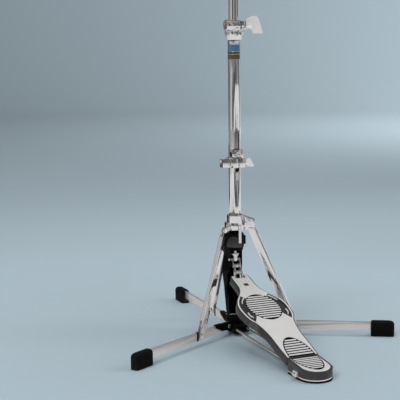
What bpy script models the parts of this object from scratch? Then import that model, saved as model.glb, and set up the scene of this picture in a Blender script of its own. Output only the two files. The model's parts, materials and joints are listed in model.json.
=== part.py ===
"""Flat-base hi-hat stand with a pair of cymbals, as separate solids.

Metres, +Z up. The tube axis is vertical and the pedal points to -Y. The origin is
the middle of the footprint on the floor. Every piece is drawn about the tube axis
and hangs under the empty "stand_axis", which carries it to its place.
"""
from math import asin, atan2, cos, hypot, pi, radians, sin

import bmesh
import bpy
from mathutils import Matrix, Vector

# Clearances
GAP = 0.0003            # between pieces that touch
RUNNING = 0.0003        # round a pin, rod or tube that moves

# Footprint
FOOT_REACH = 0.290      # tube axis to the outer end of a foot
HEEL_REACH = 0.334      # tube axis to the back of the heel
AXIS_Y = (HEEL_REACH - FOOT_REACH) / 2
LEG_ANGLES = {"a": 210.0, "b": 90.0, "c": 330.0}

# Tubes and rod
TUBE_R = 0.0111
TUBE_WALL = 0.0012
TUBE_FOOT_Z = 0.168
TUBE_TOP_Z = 0.552
SLOT_WIDTH = 0.0104
SLOT_LOW_Z = 0.300
SLOT_TOP_Z = 0.376
UPPER_R = 0.009525
UPPER_WALL = 0.0013
UPPER_FOOT_Z = 0.505
UPPER_TOP_Z = 0.770
ROD_R = 0.0030
ROD_TOP_Z = 1.010

# Height clamp
SOCKET_LOW_Z = 0.537
SOCKET_LOW_R = 0.0132
SOCKET_TOP_R = 0.0168
CLAMP_HEIGHT = 0.019
CLAMP_R = 0.0145
CLAMP_BOLT_Y = -0.018
CLAMP_BOLT_R = 0.0033

# Spring tension clamp
TENSION_LOW_Z = 0.309
TENSION_HEIGHT = 0.018
TENSION_R = 0.0150
TENSION_BOLT_Y = -0.0175
BLOCK_HEIGHT = 0.0145
BLOCK_HALF = 0.011
BLOCK_FRONT_Y = -0.0150
CUP_R = 0.0092
CUP_WALL = 0.0016
CUP_HEIGHT = 0.086
CUP_FLOOR = 0.0035

# Return spring
SPRING_WIRE_R = 0.0009
SPRING_TURNS = 9
SPRING_LENGTH = 0.090
SPRING_MEAN_R = 0.0056

# Tripod
HUB_Z = 0.196           # strut pivots
HUB_PIN_R = 0.031
HUB_R = 0.0195
HUB_THICK = 0.013
HUB_NECK_TOP_Z = 0.2215
HUB_EAR_R = 0.0053
LUG_HALF = 0.0068
HUB_BOLT_AT_R = 0.0275
HUB_BOLT_Z = 0.2090
HUB_BOLT_R = 0.0023
HUB_BOLT_HEAD = 0.0043
LEG_PIVOT_R = 0.027
LEG_PIVOT_Z = 0.018
LEG_HEIGHT = 0.016
LEG_THICK = 0.0036
LEG_START_R = 0.041
STRUT_PIN_R = 0.108
STRUT_DEPTH = 0.0145
STRUT_SHEET = 0.0013
STRUT_SIDE_GAP = 0.0004
BRACKET_SHEET = 0.0015
PIN_R = 0.0022
FOOT_LENGTH = 0.0422
FOOT_WIDTH = 0.0166
FOOT_HEIGHT = 0.0283
FOOT_SOCKET = 0.0146

# Base and tower
BASE_LOW_Z = 0.0045
BASE_TOP_Z = 0.030
BASE_R = 0.0180
TOWER_WALL = 0.0020
TOWER_HALF = 0.0115
# height, rear radius, rear centre, front edge: set back low down to clear the footboard
TOWER_LEVELS = (
    (0.0303, 0.0128, 0.0080, 0.0010),
    (0.0410, 0.0130, 0.0112, 0.0030),
    (0.0870, 0.0150, 0.0154, 0.0060),
    (0.1060, 0.0160, 0.0192, 0.0030),
    (0.1170, 0.0165, 0.0205, -0.0057),
    (0.1400, 0.0155, 0.0170, -0.0057),
    (0.1600, 0.0140, 0.0125, -0.0057),
)
TOWER_TOP_Z = 0.1830
TOWER_NECK_R = 0.0145
COVER_LOW_Z = 0.1620
COVER_TOP_Z = 0.1865
COVER_WALL = 0.0012
COVER_REAR_Y = 0.0165
COVER_REAR_R = 0.0190

# Pedal
HINGE_LINE_Y = -0.2645
HINGE_LINE_Z = 0.0252
BOARD_SLOPE = radians(18.9)
BOARD_LENGTH = 0.2640
BOARD_DEPTH = 0.0135
BOARD_PLATE = 0.0042
BOARD_WALL = 0.0030
PEDAL_PIVOT_Y = -0.300
PEDAL_PIVOT_Z = 0.0105
PEDAL_PIN_R = 0.0025
TONGUE_X = 0.0200
TONGUE_WIDTH = 0.0060
CHAIN_TOP_Z = 0.1385
CHAIN_END_T = 0.2600
CHAIN_END_DEPTH = 0.0050
CHAIN_LINKS = 3
# distance from the hinge line, half width
BOARD_HALF_WIDTHS = (
    (0.000, 0.0285), (0.032, 0.0298), (0.069, 0.0302), (0.103, 0.0357),
    (0.1225, 0.0440), (0.154, 0.0473), (0.178, 0.0415), (0.204, 0.0255),
    (0.222, 0.0190), (0.248, 0.0182),
)
TOE_CORNER = 0.006
TOE_BLOCK_T = 0.238     # solid from here to the toe
GRILLE_T = 0.154
GRILLE_LONG = 0.0800
GRILLE_WIDE = 0.0580
GRILLE_RIBS = 13
RIB_SHARE = 0.55
RIB_DEPTH = 0.0022
HEEL_GRILLE_LENGTH = 0.0540
HEEL_GRILLE_HALF = 0.0215

# Heel
PAD_THICK = 0.0026
HEEL_SHEET = 0.0026
HEEL_HALF = 0.0285
HEEL_TOP_FRONT_Z = 0.0246
HEEL_TOP_REAR_Z = 0.0172
HEEL_SKIN = 0.0032
HEEL_FRONT_Y = -0.2665
WIRE_R = 0.00225
WIRE_X = 0.0110
WIRE_BASE_Z = 0.0130
WIRE_HEEL_Z = 0.0084

# Bottom cymbal seat
SEAT_BASE_R = 0.0135
SEAT_BASE_HEIGHT = 0.024
SEAT_R = 0.0240
SEAT_NECK_R = 0.0075
SEAT_TILT_Z = 0.7772
SEAT_HEIGHT = 0.0130
FELT_R = 0.0175
FELT_BORE = 0.0065
FELT_THICK = 0.0065

# Cymbals and clutch
CYMBAL_R = 0.1778
CYMBAL_THICK = 0.0012
CYMBAL_HOLE_R = 0.0065
BELL_R = 0.0460
BELL_HEIGHT = 0.0180
BOW_HEIGHT = 0.0130
OPEN_GAP = 0.0335
CLUTCH_STEM_R = 0.0055
CLUTCH_HEAD_R = 0.0085
CLUTCH_HEAD_HEIGHT = 0.030
CLUTCH_NUT_R = 0.0105
CLUTCH_NUT_HEIGHT = 0.0060

ROUND = 28
SMALL_ROUND = 14


# ---------------------------------------------------------------- tools

def clear_scene():
    for obj in list(bpy.data.objects):
        bpy.data.objects.remove(obj)


def finish(name, colour, roughness, metallic):
    made = bpy.data.materials.new(name)
    made.use_nodes = True
    shader = made.node_tree.nodes["Principled BSDF"]
    shader.inputs["Base Color"].default_value = (*colour, 1.0)
    shader.inputs["Roughness"].default_value = roughness
    shader.inputs["Metallic"].default_value = metallic
    return made


def empty(name, location=(0, 0, 0), turn=0.0, parent=None):
    made = bpy.data.objects.new(name, None)
    bpy.context.scene.collection.objects.link(made)
    made.location = location
    made.rotation_euler = (0, 0, turn)
    made.parent = parent
    return made


def mesh_of(name, bm):
    bmesh.ops.recalc_face_normals(bm, faces=bm.faces)
    mesh = bpy.data.meshes.new(name)
    bm.to_mesh(mesh)
    bm.free()
    return mesh


def piece(name, bm, look, origin=(0, 0, 0), parent=None):
    """A named object whose origin is at `origin`, with `bm` drawn in its parent's frame."""
    bmesh.ops.translate(bm, vec=-Vector(origin), verts=bm.verts)
    mesh = mesh_of(name, bm)
    mesh.materials.append(look)
    mesh.shade_smooth()
    mesh.set_sharp_from_angle(angle=radians(35))
    made = bpy.data.objects.new(name, mesh)
    bpy.context.scene.collection.objects.link(made)
    made.location = origin
    made.parent = parent
    return made


def boolean(target, bm, operation):
    """Cuts `bm`, drawn in the target's parent's frame, from the target, or joins it on."""
    bmesh.ops.translate(bm, vec=-target.location, verts=bm.verts)
    name = f"{target.name}_{operation.lower()}_{len(target.modifiers)}"
    tool = bpy.data.objects.new(name, mesh_of(name, bm))
    bpy.context.scene.collection.objects.link(tool)
    tool.parent = target
    tool.hide_render = True
    tool.display_type = "WIRE"
    made = target.modifiers.new(operation.lower(), "BOOLEAN")
    made.operation = operation
    made.solver = "EXACT"
    made.object = tool


def cut(target, bm):
    boolean(target, bm, "DIFFERENCE")


def join(target, bm):
    boolean(target, bm, "UNION")


def rings(levels, closed=False):
    """Skin over a list of rings with equal point counts, capped, or closed end to end."""
    bm = bmesh.new()
    made = [[bm.verts.new(point) for point in ring] for ring in levels]
    count = len(made[0])
    pairs = list(zip(made, made[1:]))
    if closed:
        pairs.append((made[-1], made[0]))
    for low, high in pairs:
        for i in range(count):
            j = (i + 1) % count
            bm.faces.new((low[i], low[j], high[j], high[i]))
    if not closed:
        bm.faces.new(made[0])
        bm.faces.new(made[-1])
    return bm


def turned(profile, count=ROUND, closed=True):
    """Revolves (radius, height) about Z. A closed profile makes a ring, an open one a solid."""
    levels = []
    for radius, height in profile:
        ring = []
        for i in range(count):
            angle = 2 * pi * i / count
            ring.append((radius * cos(angle), radius * sin(angle), height))
        levels.append(ring)
    return rings(levels, closed)


def bush(inner, outer, low, high, count=ROUND):
    return turned([(outer, low), (outer, high), (inner, high), (inner, low)], count)


def disc(radius, low, high, count=SMALL_ROUND):
    return turned([(radius, low), (radius, high)], count, closed=False)


def prism(outline, low, high):
    """Extrudes an outline of (x, y) from `low` to `high` along Z."""
    return rings([[(x, y, z) for x, y in outline] for z in (low, high)])


def box(x0, x1, y0, y1, z0, z1):
    return prism([(x0, y0), (x1, y0), (x1, y1), (x0, y1)], z0, z1)


def moved(bm, matrix):
    bmesh.ops.transform(bm, matrix=matrix, verts=bm.verts)
    return bm


def along_x(bm, y=0.0, z=0.0):
    """Turns what was drawn along Z to lie along X, at the given y and z."""
    return moved(bm, Matrix.Translation((0, y, z)) @ Matrix.Rotation(pi / 2, 4, "Y"))


def along_y(bm, x=0.0, z=0.0):
    """Turns what was drawn along Z to lie along Y, at the given x and z."""
    return moved(bm, Matrix.Translation((x, 0, z)) @ Matrix.Rotation(-pi / 2, 4, "X"))


def upright_xz(outline, y0, y1):
    """A plate with an outline of (x, z), between y0 and y1."""
    return rings([[(x, y, z) for x, z in outline] for y in (y0, y1)])


def upright_yz(outline, x0, x1):
    """A plate with an outline of (y, z), between x0 and x1."""
    return rings([[(x, y, z) for y, z in outline] for x in (x0, x1)])


def arc(cx, cy, radius, start, end, count):
    """Points on an arc, with angles in degrees."""
    made = []
    for i in range(count + 1):
        angle = radians(start + (end - start) * i / count)
        made.append((cx + radius * cos(angle), cy + radius * sin(angle)))
    return made


def merge(*parts):
    """One bmesh that holds several closed shapes which don't touch."""
    whole = parts[0]
    for extra in parts[1:]:
        scratch = bpy.data.meshes.new("scratch")
        extra.to_mesh(scratch)
        extra.free()
        whole.from_mesh(scratch)
        bpy.data.meshes.remove(scratch)
    return whole


def smooth_through(points, steps):
    """A Catmull-Rom curve through `points`, with `steps` points for each stretch."""
    ends = [points[0]] + list(points) + [points[-1]]
    made = []
    for i in range(1, len(ends) - 2):
        p0, p1, p2, p3 = (Vector(p) for p in ends[i - 1:i + 3])
        for k in range(steps):
            u = k / steps
            made.append(0.5 * (2 * p1 + (p2 - p0) * u + (2 * p0 - 5 * p1 + 4 * p2 - p3) * u ** 2
                               + (3 * p1 - p0 - 3 * p2 + p3) * u ** 3))
    made.append(Vector(points[-1]))
    return made


# ---------------------------------------------------------------- tubes and rod

def slot_outline():
    """The upright slot in the lower tube, round at both ends, as (x, z)."""
    half = SLOT_WIDTH / 2
    return (arc(0, SLOT_TOP_Z - half, half, 0, 180, 10)
            + arc(0, SLOT_LOW_Z + half, half, 180, 360, 10))


def lower_tube(stand, chrome):
    made = piece("lower_tube", bush(TUBE_R - TUBE_WALL, TUBE_R, TUBE_FOOT_Z, TUBE_TOP_Z), chrome,
                 parent=stand)
    cut(made, upright_xz(slot_outline(), -2 * TUBE_R, 0))


def upper_tube(stand, chrome):
    piece("upper_tube", bush(UPPER_R - UPPER_WALL, UPPER_R, UPPER_FOOT_Z, UPPER_TOP_Z), chrome,
          parent=stand)


def pull_rod(stand, steel):
    foot = CHAIN_TOP_Z + FORK_RISE + GAP
    piece("pull_rod", disc(ROD_R, foot, ROD_TOP_Z), steel, parent=stand)


FORK_RISE = 0.0110
FORK_STEM = 0.0029
FORK_TOP_HALF = 0.0073
FORK_THICK = 0.0060
CHAIN_OUTER_X = 0.0065
CHAIN_INNER_X = 0.0048
CHAIN_SHEET = 0.0012
CHAIN_PIN_R = 0.0017
CHAIN_PLATE_R = 0.0038
FORK_PIN_END = 0.0090
CHAIN_END_X = 0.0140


def pull_fork(stand, steel):
    outline = [(-FORK_TOP_HALF, FORK_RISE), (-FORK_STEM, 0.0055), (-FORK_STEM, -0.0035),
               (FORK_STEM, -0.0035), (FORK_STEM, 0.0055), (FORK_TOP_HALF, FORK_RISE)]
    bm = upright_xz(outline, -FORK_THICK / 2, FORK_THICK / 2)
    bmesh.ops.translate(bm, vec=(0, 0, CHAIN_TOP_Z), verts=bm.verts)
    made = piece("pull_fork", bm, steel, parent=stand)
    cut(made, along_x(disc(CHAIN_PIN_R + RUNNING, -0.01, 0.01), 0, CHAIN_TOP_Z))


def chain_top_pin(stand, steel):
    shank = disc(CHAIN_PIN_R, -CHAIN_OUTER_X - CHAIN_SHEET - GAP, CHAIN_OUTER_X + CHAIN_SHEET + GAP)
    made = piece("chain_top_pin", along_x(shank, 0, CHAIN_TOP_Z), steel,
                 origin=(0, 0, CHAIN_TOP_Z), parent=stand)
    head = CHAIN_OUTER_X + CHAIN_SHEET + GAP - 0.0001
    for low, high in ((-FORK_PIN_END, -head), (head, FORK_PIN_END)):
        join(made, along_x(disc(CHAIN_PIN_R + 0.0010, low, high), 0, CHAIN_TOP_Z))


def board_point(t, n):
    """(y, z) of the point at distance t from the hinge line and n above the footboard's face."""
    return (HINGE_LINE_Y + t * cos(BOARD_SLOPE) - n * sin(BOARD_SLOPE),
            HINGE_LINE_Z + t * sin(BOARD_SLOPE) + n * cos(BOARD_SLOPE))


def chain_points():
    """(y, z) of the chain's pins, from the fork down to the footboard's toe."""
    y, z = board_point(CHAIN_END_T, -CHAIN_END_DEPTH)
    made = []
    for i in range(CHAIN_LINKS + 1):
        share = i / CHAIN_LINKS
        made.append((share * y, CHAIN_TOP_Z + share * (z - CHAIN_TOP_Z)))
    return made


def link_outline(start, end, radius):
    """A link plate's outline round two pins, as (y, z)."""
    lean = atan2(end[1] - start[1], end[0] - start[0]) * 180 / pi
    return (arc(start[0], start[1], radius, lean + 90, lean + 270, 8)
            + arc(end[0], end[1], radius, lean - 90, lean + 90, 8))


def chain(stand, steel):
    points = chain_points()
    for i in range(CHAIN_LINKS):
        start, end = points[i], points[i + 1]
        outline = link_outline(start, end, CHAIN_PLATE_R)
        outer = i % 2 == 0
        inside = CHAIN_OUTER_X if outer else CHAIN_INNER_X
        plates = merge(upright_yz(outline, inside, inside + CHAIN_SHEET),
                       upright_yz(outline, -inside - CHAIN_SHEET, -inside))
        made = piece(f"chain_link_{i + 1}", plates, steel, origin=(0, 0, CHAIN_TOP_Z), parent=stand)
        if outer:
            own = [end] if i == 0 else [start, end]
            for y, z in own:
                reach = CHAIN_END_X if (y, z) == points[-1] else inside + 0.0018
                join(made, along_x(disc(CHAIN_PIN_R, -reach, reach), y, z))
            if i == 0:
                cut(made, along_x(disc(CHAIN_PIN_R + RUNNING, -0.02, 0.02), *start))
        else:
            for y, z in (start, end):
                join(made, along_x(disc(CHAIN_PLATE_R - 0.0004, -inside - 0.0002, inside + 0.0002),
                                   y, z))
            for y, z in (start, end):
                cut(made, along_x(disc(CHAIN_PIN_R + RUNNING, -0.02, 0.02), y, z))


# ---------------------------------------------------------------- clamps

def wing_plate(name, outline, axis_y, axis_z, hub, shank, look, stand, thick=0.0042):
    """A wing bolt along X: shank, round hub and a flat wing with an outline of (x, z)."""
    axis = (0, axis_y, axis_z)
    bm = upright_xz([(x, axis_z + z) for x, z in outline], axis_y - thick / 2, axis_y + thick / 2)
    made = piece(name, bm, look, origin=axis, parent=stand)
    join(made, along_x(disc(hub[2], hub[0], hub[1]), axis_y, axis_z))
    join(made, along_x(disc(shank[2], shank[0], hub[1] - 0.001), axis_y, axis_z))
    return made


def tube_socket(stand, chrome):
    """The flared fitting on the lower tube's top, with three flutes round its side."""
    low, high = SOCKET_LOW_Z, TUBE_TOP_Z + GAP
    bore = TUBE_R + GAP
    profile = [(SOCKET_LOW_R, low), (SOCKET_TOP_R, high - 0.002), (SOCKET_TOP_R - 0.0006, high),
               (bore, high), (bore, low)]
    made = piece("tube_socket", turned(profile), chrome, parent=stand)
    for angle in (-150, -90, -30, 60, 120):
        flute = moved(disc(0.0030, low - 0.004, high + 0.002, 12), Matrix.Translation((0.0178, 0, 0)))
        cut(made, moved(flute, Matrix.Rotation(radians(angle), 4, "Z")))


def height_collar(stand, chrome):
    low = TUBE_TOP_Z + 2 * GAP + 0.0004
    high = low + CLAMP_HEIGHT
    middle = (low + high) / 2
    made = piece("height_collar", bush(UPPER_R + GAP, CLAMP_R, low, high), chrome, parent=stand)
    ears = upright_xz([(-0.0125, low + 0.002), (0.0125, low + 0.002), (0.0125, high - 0.002),
                       (-0.0125, high - 0.002)], CLAMP_BOLT_Y - 0.0065, -UPPER_R - 0.002)
    join(made, ears)
    join(made, along_x(disc(0.0092, -0.0240, -0.0115), CLAMP_BOLT_Y, middle))
    cut(made, along_x(disc(0.0060, -0.0250, -0.0205), CLAMP_BOLT_Y, middle))
    cut(made, box(0.0020, 0.0040, CLAMP_BOLT_Y - 0.02, -UPPER_R + 0.001, low - 0.01, high + 0.01))
    cut(made, along_x(disc(CLAMP_BOLT_R + RUNNING, -0.0185, 0.02), CLAMP_BOLT_Y, middle))


def height_wing(stand, satin):
    middle = TUBE_TOP_Z + 2 * GAP + 0.0004 + CLAMP_HEIGHT / 2
    outline = [(0.0160, -0.0060), (0.0160, 0.0100), (0.0195, 0.0140), (0.0260, 0.0160),
               (0.0360, 0.0160), (0.0405, 0.0095), (0.0485, -0.0145), (0.0300, -0.0145),
               (0.0250, -0.0060)]
    wing_plate("height_wing", outline, CLAMP_BOLT_Y, middle, (0.0128, 0.0260, 0.0052),
               (-0.0180, None, CLAMP_BOLT_R), satin, stand)


def block_low_z():
    return TENSION_LOW_Z + TENSION_HEIGHT + GAP


def tension_collar(stand, chrome):
    low, high = TENSION_LOW_Z, TENSION_LOW_Z + TENSION_HEIGHT
    middle = (low + high) / 2
    made = piece("tension_collar", bush(TUBE_R + GAP, TENSION_R, low, high), chrome, parent=stand)
    join(made, upright_xz([(-0.0135, low + 0.001), (0.0105, low + 0.001), (0.0105, high - 0.001),
                           (-0.0135, high - 0.001)], TENSION_BOLT_Y - 0.0060, -TUBE_R - 0.001))
    join(made, box(-0.0280, -0.0125, -0.0105, 0.0030, low + 0.001, high - 0.002))
    cut(made, box(-0.0290, -0.0262, -0.0085, 0.0010, low + 0.003, high - 0.004))
    cut(made, box(-0.0028, -0.0012, TENSION_BOLT_Y - 0.02, -TUBE_R + 0.0015, low - 0.01, high + 0.01))
    cut(made, along_x(disc(CLAMP_BOLT_R + RUNNING, -0.0115, 0.02), TENSION_BOLT_Y, middle))


def tension_wing(stand, satin):
    middle = TENSION_LOW_Z + TENSION_HEIGHT / 2
    outline = [(0.0158, -0.0040), (0.0158, 0.0050), (0.0180, 0.0078), (0.0225, 0.0078),
               (0.0262, 0.0010), (0.0295, -0.0045), (0.0285, -0.0078), (0.0165, -0.0070)]
    wing_plate("tension_wing", outline, TENSION_BOLT_Y, middle, (0.0108, 0.0200, 0.0050),
               (-0.0110, None, CLAMP_BOLT_R), satin, stand)


def tension_block(stand, chrome):
    low = block_low_z()
    high = low + BLOCK_HEIGHT
    made = piece("tension_block", box(-BLOCK_HALF, BLOCK_HALF, BLOCK_FRONT_Y, -0.0040, low, high),
                 chrome, parent=stand)
    cut(made, disc(TUBE_R + GAP, low - 0.01, high + 0.01, ROUND))
    half = SLOT_WIDTH / 2 - GAP
    join(made, box(-half, half, -TUBE_R - 0.0020, -CUP_R - GAP, low + 0.0005, high - 0.0005))
    cut(made, along_y(disc(CLAMP_BOLT_R + RUNNING, -0.03, -CUP_R + 0.0005), 0, (low + high) / 2))


def tension_screw(stand, steel):
    middle = block_low_z() + BLOCK_HEIGHT / 2
    made = piece("tension_screw", along_y(disc(0.0053, BLOCK_FRONT_Y - 0.0032, BLOCK_FRONT_Y - GAP),
                                          0, middle), steel, origin=(0, 0, middle), parent=stand)
    join(made, along_y(disc(CLAMP_BOLT_R, BLOCK_FRONT_Y - 0.001, -CUP_R - GAP), 0, middle))
    half = 0.0022
    cut(made, box(-half, half, BLOCK_FRONT_Y - 0.006, BLOCK_FRONT_Y - 0.0016, middle - half,
                  middle + half))


def cup_low_z():
    return block_low_z() - 0.0113


def spring_cup(stand, chrome):
    low = cup_low_z()
    inner = CUP_R - CUP_WALL
    hole = ROD_R + 0.0006
    profile = [(CUP_R, low), (CUP_R, low + CUP_HEIGHT), (inner, low + CUP_HEIGHT),
               (inner, low + CUP_FLOOR), (hole, low + CUP_FLOOR), (hole, low)]
    piece("spring_cup", turned(profile), chrome, parent=stand)


def spring_low_z():
    return cup_low_z() + CUP_FLOOR + GAP


def return_spring(stand, steel):
    """A coil drawn as a tube along a helix, whose ends lie inside its stated length."""
    low = spring_low_z() + SPRING_WIRE_R
    rise = SPRING_LENGTH - 2 * SPRING_WIRE_R
    per_turn = 10
    total = SPRING_TURNS * per_turn
    curve = bpy.data.curves.new("return_spring", "CURVE")
    curve.dimensions = "3D"
    curve.bevel_depth = SPRING_WIRE_R
    curve.bevel_resolution = 0
    curve.use_fill_caps = True
    spline = curve.splines.new("POLY")
    spline.points.add(total)
    for i, point in enumerate(spline.points):
        angle = 2 * pi * i / per_turn
        point.co = (SPRING_MEAN_R * cos(angle), SPRING_MEAN_R * sin(angle), rise * i / total, 1)
    curve.materials.append(steel)
    made = bpy.data.objects.new("return_spring", curve)
    bpy.context.scene.collection.objects.link(made)
    made.location = (0, 0, low)
    made.parent = stand


def spring_collar(stand, steel):
    low = spring_low_z() + SPRING_LENGTH + GAP
    piece("spring_collar", bush(ROD_R + GAP, CUP_R - CUP_WALL - 0.0004, low, low + 0.006, 24), steel,
          parent=stand)


# ---------------------------------------------------------------- tripod

def strut_line():
    """Length of a strut between its pivots, and its angle from the leg's outward direction."""
    rise = HUB_Z - LEG_PIVOT_Z
    run = HUB_PIN_R - STRUT_PIN_R
    return hypot(run, rise), atan2(rise, run)


def strut_width():
    return LEG_THICK + 2 * (STRUT_SIDE_GAP + STRUT_SHEET)


def tripod_hub(stand, chrome):
    """The sliding hub: a ring with an ear for each strut, and over ear c a slit lug to tighten it."""
    low = HUB_Z - 0.001
    made = piece("tripod_hub", bush(TUBE_R + GAP, HUB_R, low, low + HUB_THICK), chrome, parent=stand)
    join(made, bush(TUBE_R + GAP, 0.0150, low + 0.001, HUB_NECK_TOP_Z))
    turn = Matrix.Rotation(radians(LEG_ANGLES["c"]), 4, "Z")
    lug = [(0.0118, 0.1992), (0.0362, 0.1986), (0.0368, 0.2135), (0.0118, 0.2212)]
    join(made, moved(upright_xz(lug, -LUG_HALF, LUG_HALF), turn))
    # The lug's front cheek hangs down beside the strut, and the bolt's head sits on it.
    cut(made, moved(box(HUB_R + 0.0011, 0.0400, -0.0050, 0.0100, 0.1900, 0.2062), turn))
    half = LEG_THICK / 2
    for angle in LEG_ANGLES.values():
        outline = [(HUB_R - 0.004, HUB_Z - 0.0005)] + arc(HUB_PIN_R, HUB_Z, HUB_EAR_R, -70, 80, 8)
        outline.append((HUB_R - 0.004, HUB_Z + 0.0085))
        join(made, moved(upright_xz(outline, -half, half), Matrix.Rotation(radians(angle), 4, "Z")))
    cut(made, moved(box(0.0100, 0.0245, -0.0009, 0.0009, 0.2020, 0.2300), turn))
    bolt = along_y(disc(HUB_BOLT_R + RUNNING, -0.0100, 0.0100), HUB_BOLT_AT_R, HUB_BOLT_Z)
    cut(made, moved(bolt, turn))


def hub_bolt(frame, steel):
    """The square-headed bolt that tightens the hub on the tube, in leg c's frame."""
    face = -LUG_HALF - GAP
    head = box(HUB_BOLT_AT_R - HUB_BOLT_HEAD, HUB_BOLT_AT_R + HUB_BOLT_HEAD, face - 0.0038, face,
               HUB_BOLT_Z - HUB_BOLT_HEAD, HUB_BOLT_Z + HUB_BOLT_HEAD)
    made = piece("hub_bolt", head, steel, origin=(HUB_BOLT_AT_R, 0, HUB_BOLT_Z), parent=frame)
    join(made, along_y(disc(HUB_BOLT_R, face - 0.0010, LUG_HALF - 0.0002), HUB_BOLT_AT_R,
                       HUB_BOLT_Z))


def leg(letter, frame, alloy):
    low, high = LEG_PIVOT_Z - LEG_HEIGHT / 2, LEG_PIVOT_Z + LEG_HEIGHT / 2
    end = FOOT_REACH - FOOT_LENGTH + FOOT_SOCKET - GAP
    made = piece(f"leg_{letter}", box(LEG_START_R, end, -LEG_THICK / 2, LEG_THICK / 2, low, high),
                 alloy, origin=(LEG_PIVOT_R, 0, LEG_PIVOT_Z), parent=frame)
    cut(made, along_y(disc(PIN_R + RUNNING, -0.01, 0.01, 16), STRUT_PIN_R, LEG_PIVOT_Z))


def leg_bracket(letter, frame, black):
    inner = LEG_THICK / 2 + GAP
    outer = inner + BRACKET_SHEET
    top = LEG_PIVOT_Z + LEG_HEIGHT / 2 + GAP
    outline = (arc(LEG_PIVOT_R, LEG_PIVOT_Z, 0.0072, 90, 270, 8)
               + [(0.0450, 0.0125), (0.0645, 0.0215), (0.0655, top), (0.0600, top + 0.0012)])
    made = piece(f"leg_bracket_{letter}", upright_xz(outline, -outer, outer), black,
                 origin=(LEG_PIVOT_R, 0, LEG_PIVOT_Z), parent=frame)
    cut(made, box(0.0, 0.10, -inner, inner, 0.0, top))
    cut(made, box(0.0, LEG_START_R - 0.001, -inner, inner, 0.0, 0.05))
    cut(made, along_y(disc(PIN_R + RUNNING, -0.01, 0.01, 16), LEG_PIVOT_R, LEG_PIVOT_Z))


def leg_pivot_bolt(letter, frame, steel):
    reach = LEG_THICK / 2 + GAP + BRACKET_SHEET + GAP
    at = (LEG_PIVOT_R, 0, LEG_PIVOT_Z)
    made = piece(f"leg_bolt_{letter}", along_y(disc(PIN_R, -reach - 0.001, reach + 0.001, 16),
                                               at[0], at[2]), steel, origin=at, parent=frame)
    for low, high in ((-reach - 0.0022, -reach), (reach, reach + 0.0022)):
        join(made, along_y(disc(0.0040, low, high, 6), at[0], at[2]))


def strut_pin(letter, frame, steel):
    reach = strut_width() / 2 + GAP
    at = (STRUT_PIN_R, 0, LEG_PIVOT_Z)
    made = piece(f"strut_pin_{letter}", along_y(disc(PIN_R, -reach - 0.0005, reach + 0.0005, 16),
                                                at[0], at[2]), steel, origin=at, parent=frame)
    for low, high in ((-reach - 0.0012, -reach), (reach, reach + 0.0012)):
        join(made, along_y(disc(0.0038, low, high, 16), at[0], at[2]))


NECK_START = 0.157      # along a strut, where its left side plate ends
WEB_START = 0.026
WEB_STOP = 0.014        # short of the upper pivot
END_R = 0.0062


def strut_cavity(length, deep):
    """What is taken from between a strut's side plates, as (along, inward)."""
    web = STRUT_SHEET - deep
    return [(-0.02, -0.02), (WEB_START, -0.02), (WEB_START, web), (length - WEB_STOP, web),
            (length - WEB_STOP, -0.02), (length + 0.02, -0.02), (length + 0.02, 0.02),
            (-0.02, 0.02)]


def strut(letter, frame, chrome):
    """A channel open to the tube. It is drawn lying along +X and turned up round its lower pin."""
    length, lean = strut_line()
    half, deep = strut_width() / 2, STRUT_DEPTH / 2
    inside = half - STRUT_SHEET
    outline = arc(0, 0, END_R, 90, 270, 10) + [(0.016, -deep), (length - 0.010, -deep)]
    outline += arc(length, 0, END_R, -90, 90, 10) + [(length - 0.010, deep), (0.016, deep)]
    place = (Matrix.Translation((STRUT_PIN_R, 0, LEG_PIVOT_Z)) @ Matrix.Rotation(-lean, 4, "Y"))
    made = piece(f"strut_{letter}", moved(upright_xz(outline, -half, half), place), chrome,
                 origin=(STRUT_PIN_R, 0, LEG_PIVOT_Z), parent=frame)
    cut(made, moved(upright_xz(strut_cavity(length, deep), -inside, inside), place))
    corner = arc(NECK_START - 0.005, deep - 0.006, 0.0056, 90, 0, 6)
    shortened = [(NECK_START - 0.005, 0.02)] + corner
    shortened += [(NECK_START + 0.0006, 0.0016 - deep), (length + 0.02, 0.0016 - deep),
                  (length + 0.02, 0.02)]
    cut(made, moved(upright_xz(shortened, inside - 0.0006, half + 0.01), place))
    cut(made, moved(along_y(disc(PIN_R + RUNNING, -0.01, 0.01, 16)), place))
    join(made, moved(along_y(disc(0.0040, -half - 0.0012, -half + 0.0004, 16), length, 0), place))


def foot(letter, frame, rubber):
    inner = FOOT_REACH - FOOT_LENGTH
    half = FOOT_WIDTH / 2
    rise = 0.0075
    outline = [(inner, 0.0), (FOOT_REACH - 0.004, 0.0), (FOOT_REACH, 0.0030)]
    outline += arc(FOOT_REACH - 0.006, FOOT_HEIGHT - 0.006, 0.006, 0, 90, 6)
    outline += arc(inner + rise / 2, FOOT_HEIGHT - rise / 2, rise / 2, 90, 180, 5)
    made = piece(f"foot_{letter}", upright_xz(outline, -half, half), rubber,
                 origin=(LEG_PIVOT_R, 0, LEG_PIVOT_Z), parent=frame)
    side = LEG_THICK / 2 + GAP
    low, high = LEG_PIVOT_Z - LEG_HEIGHT / 2 - GAP, LEG_PIVOT_Z + LEG_HEIGHT / 2 + GAP
    cut(made, box(inner - 0.01, inner + FOOT_SOCKET, -side, side, low, high))


# ---------------------------------------------------------------- base and tower

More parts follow.
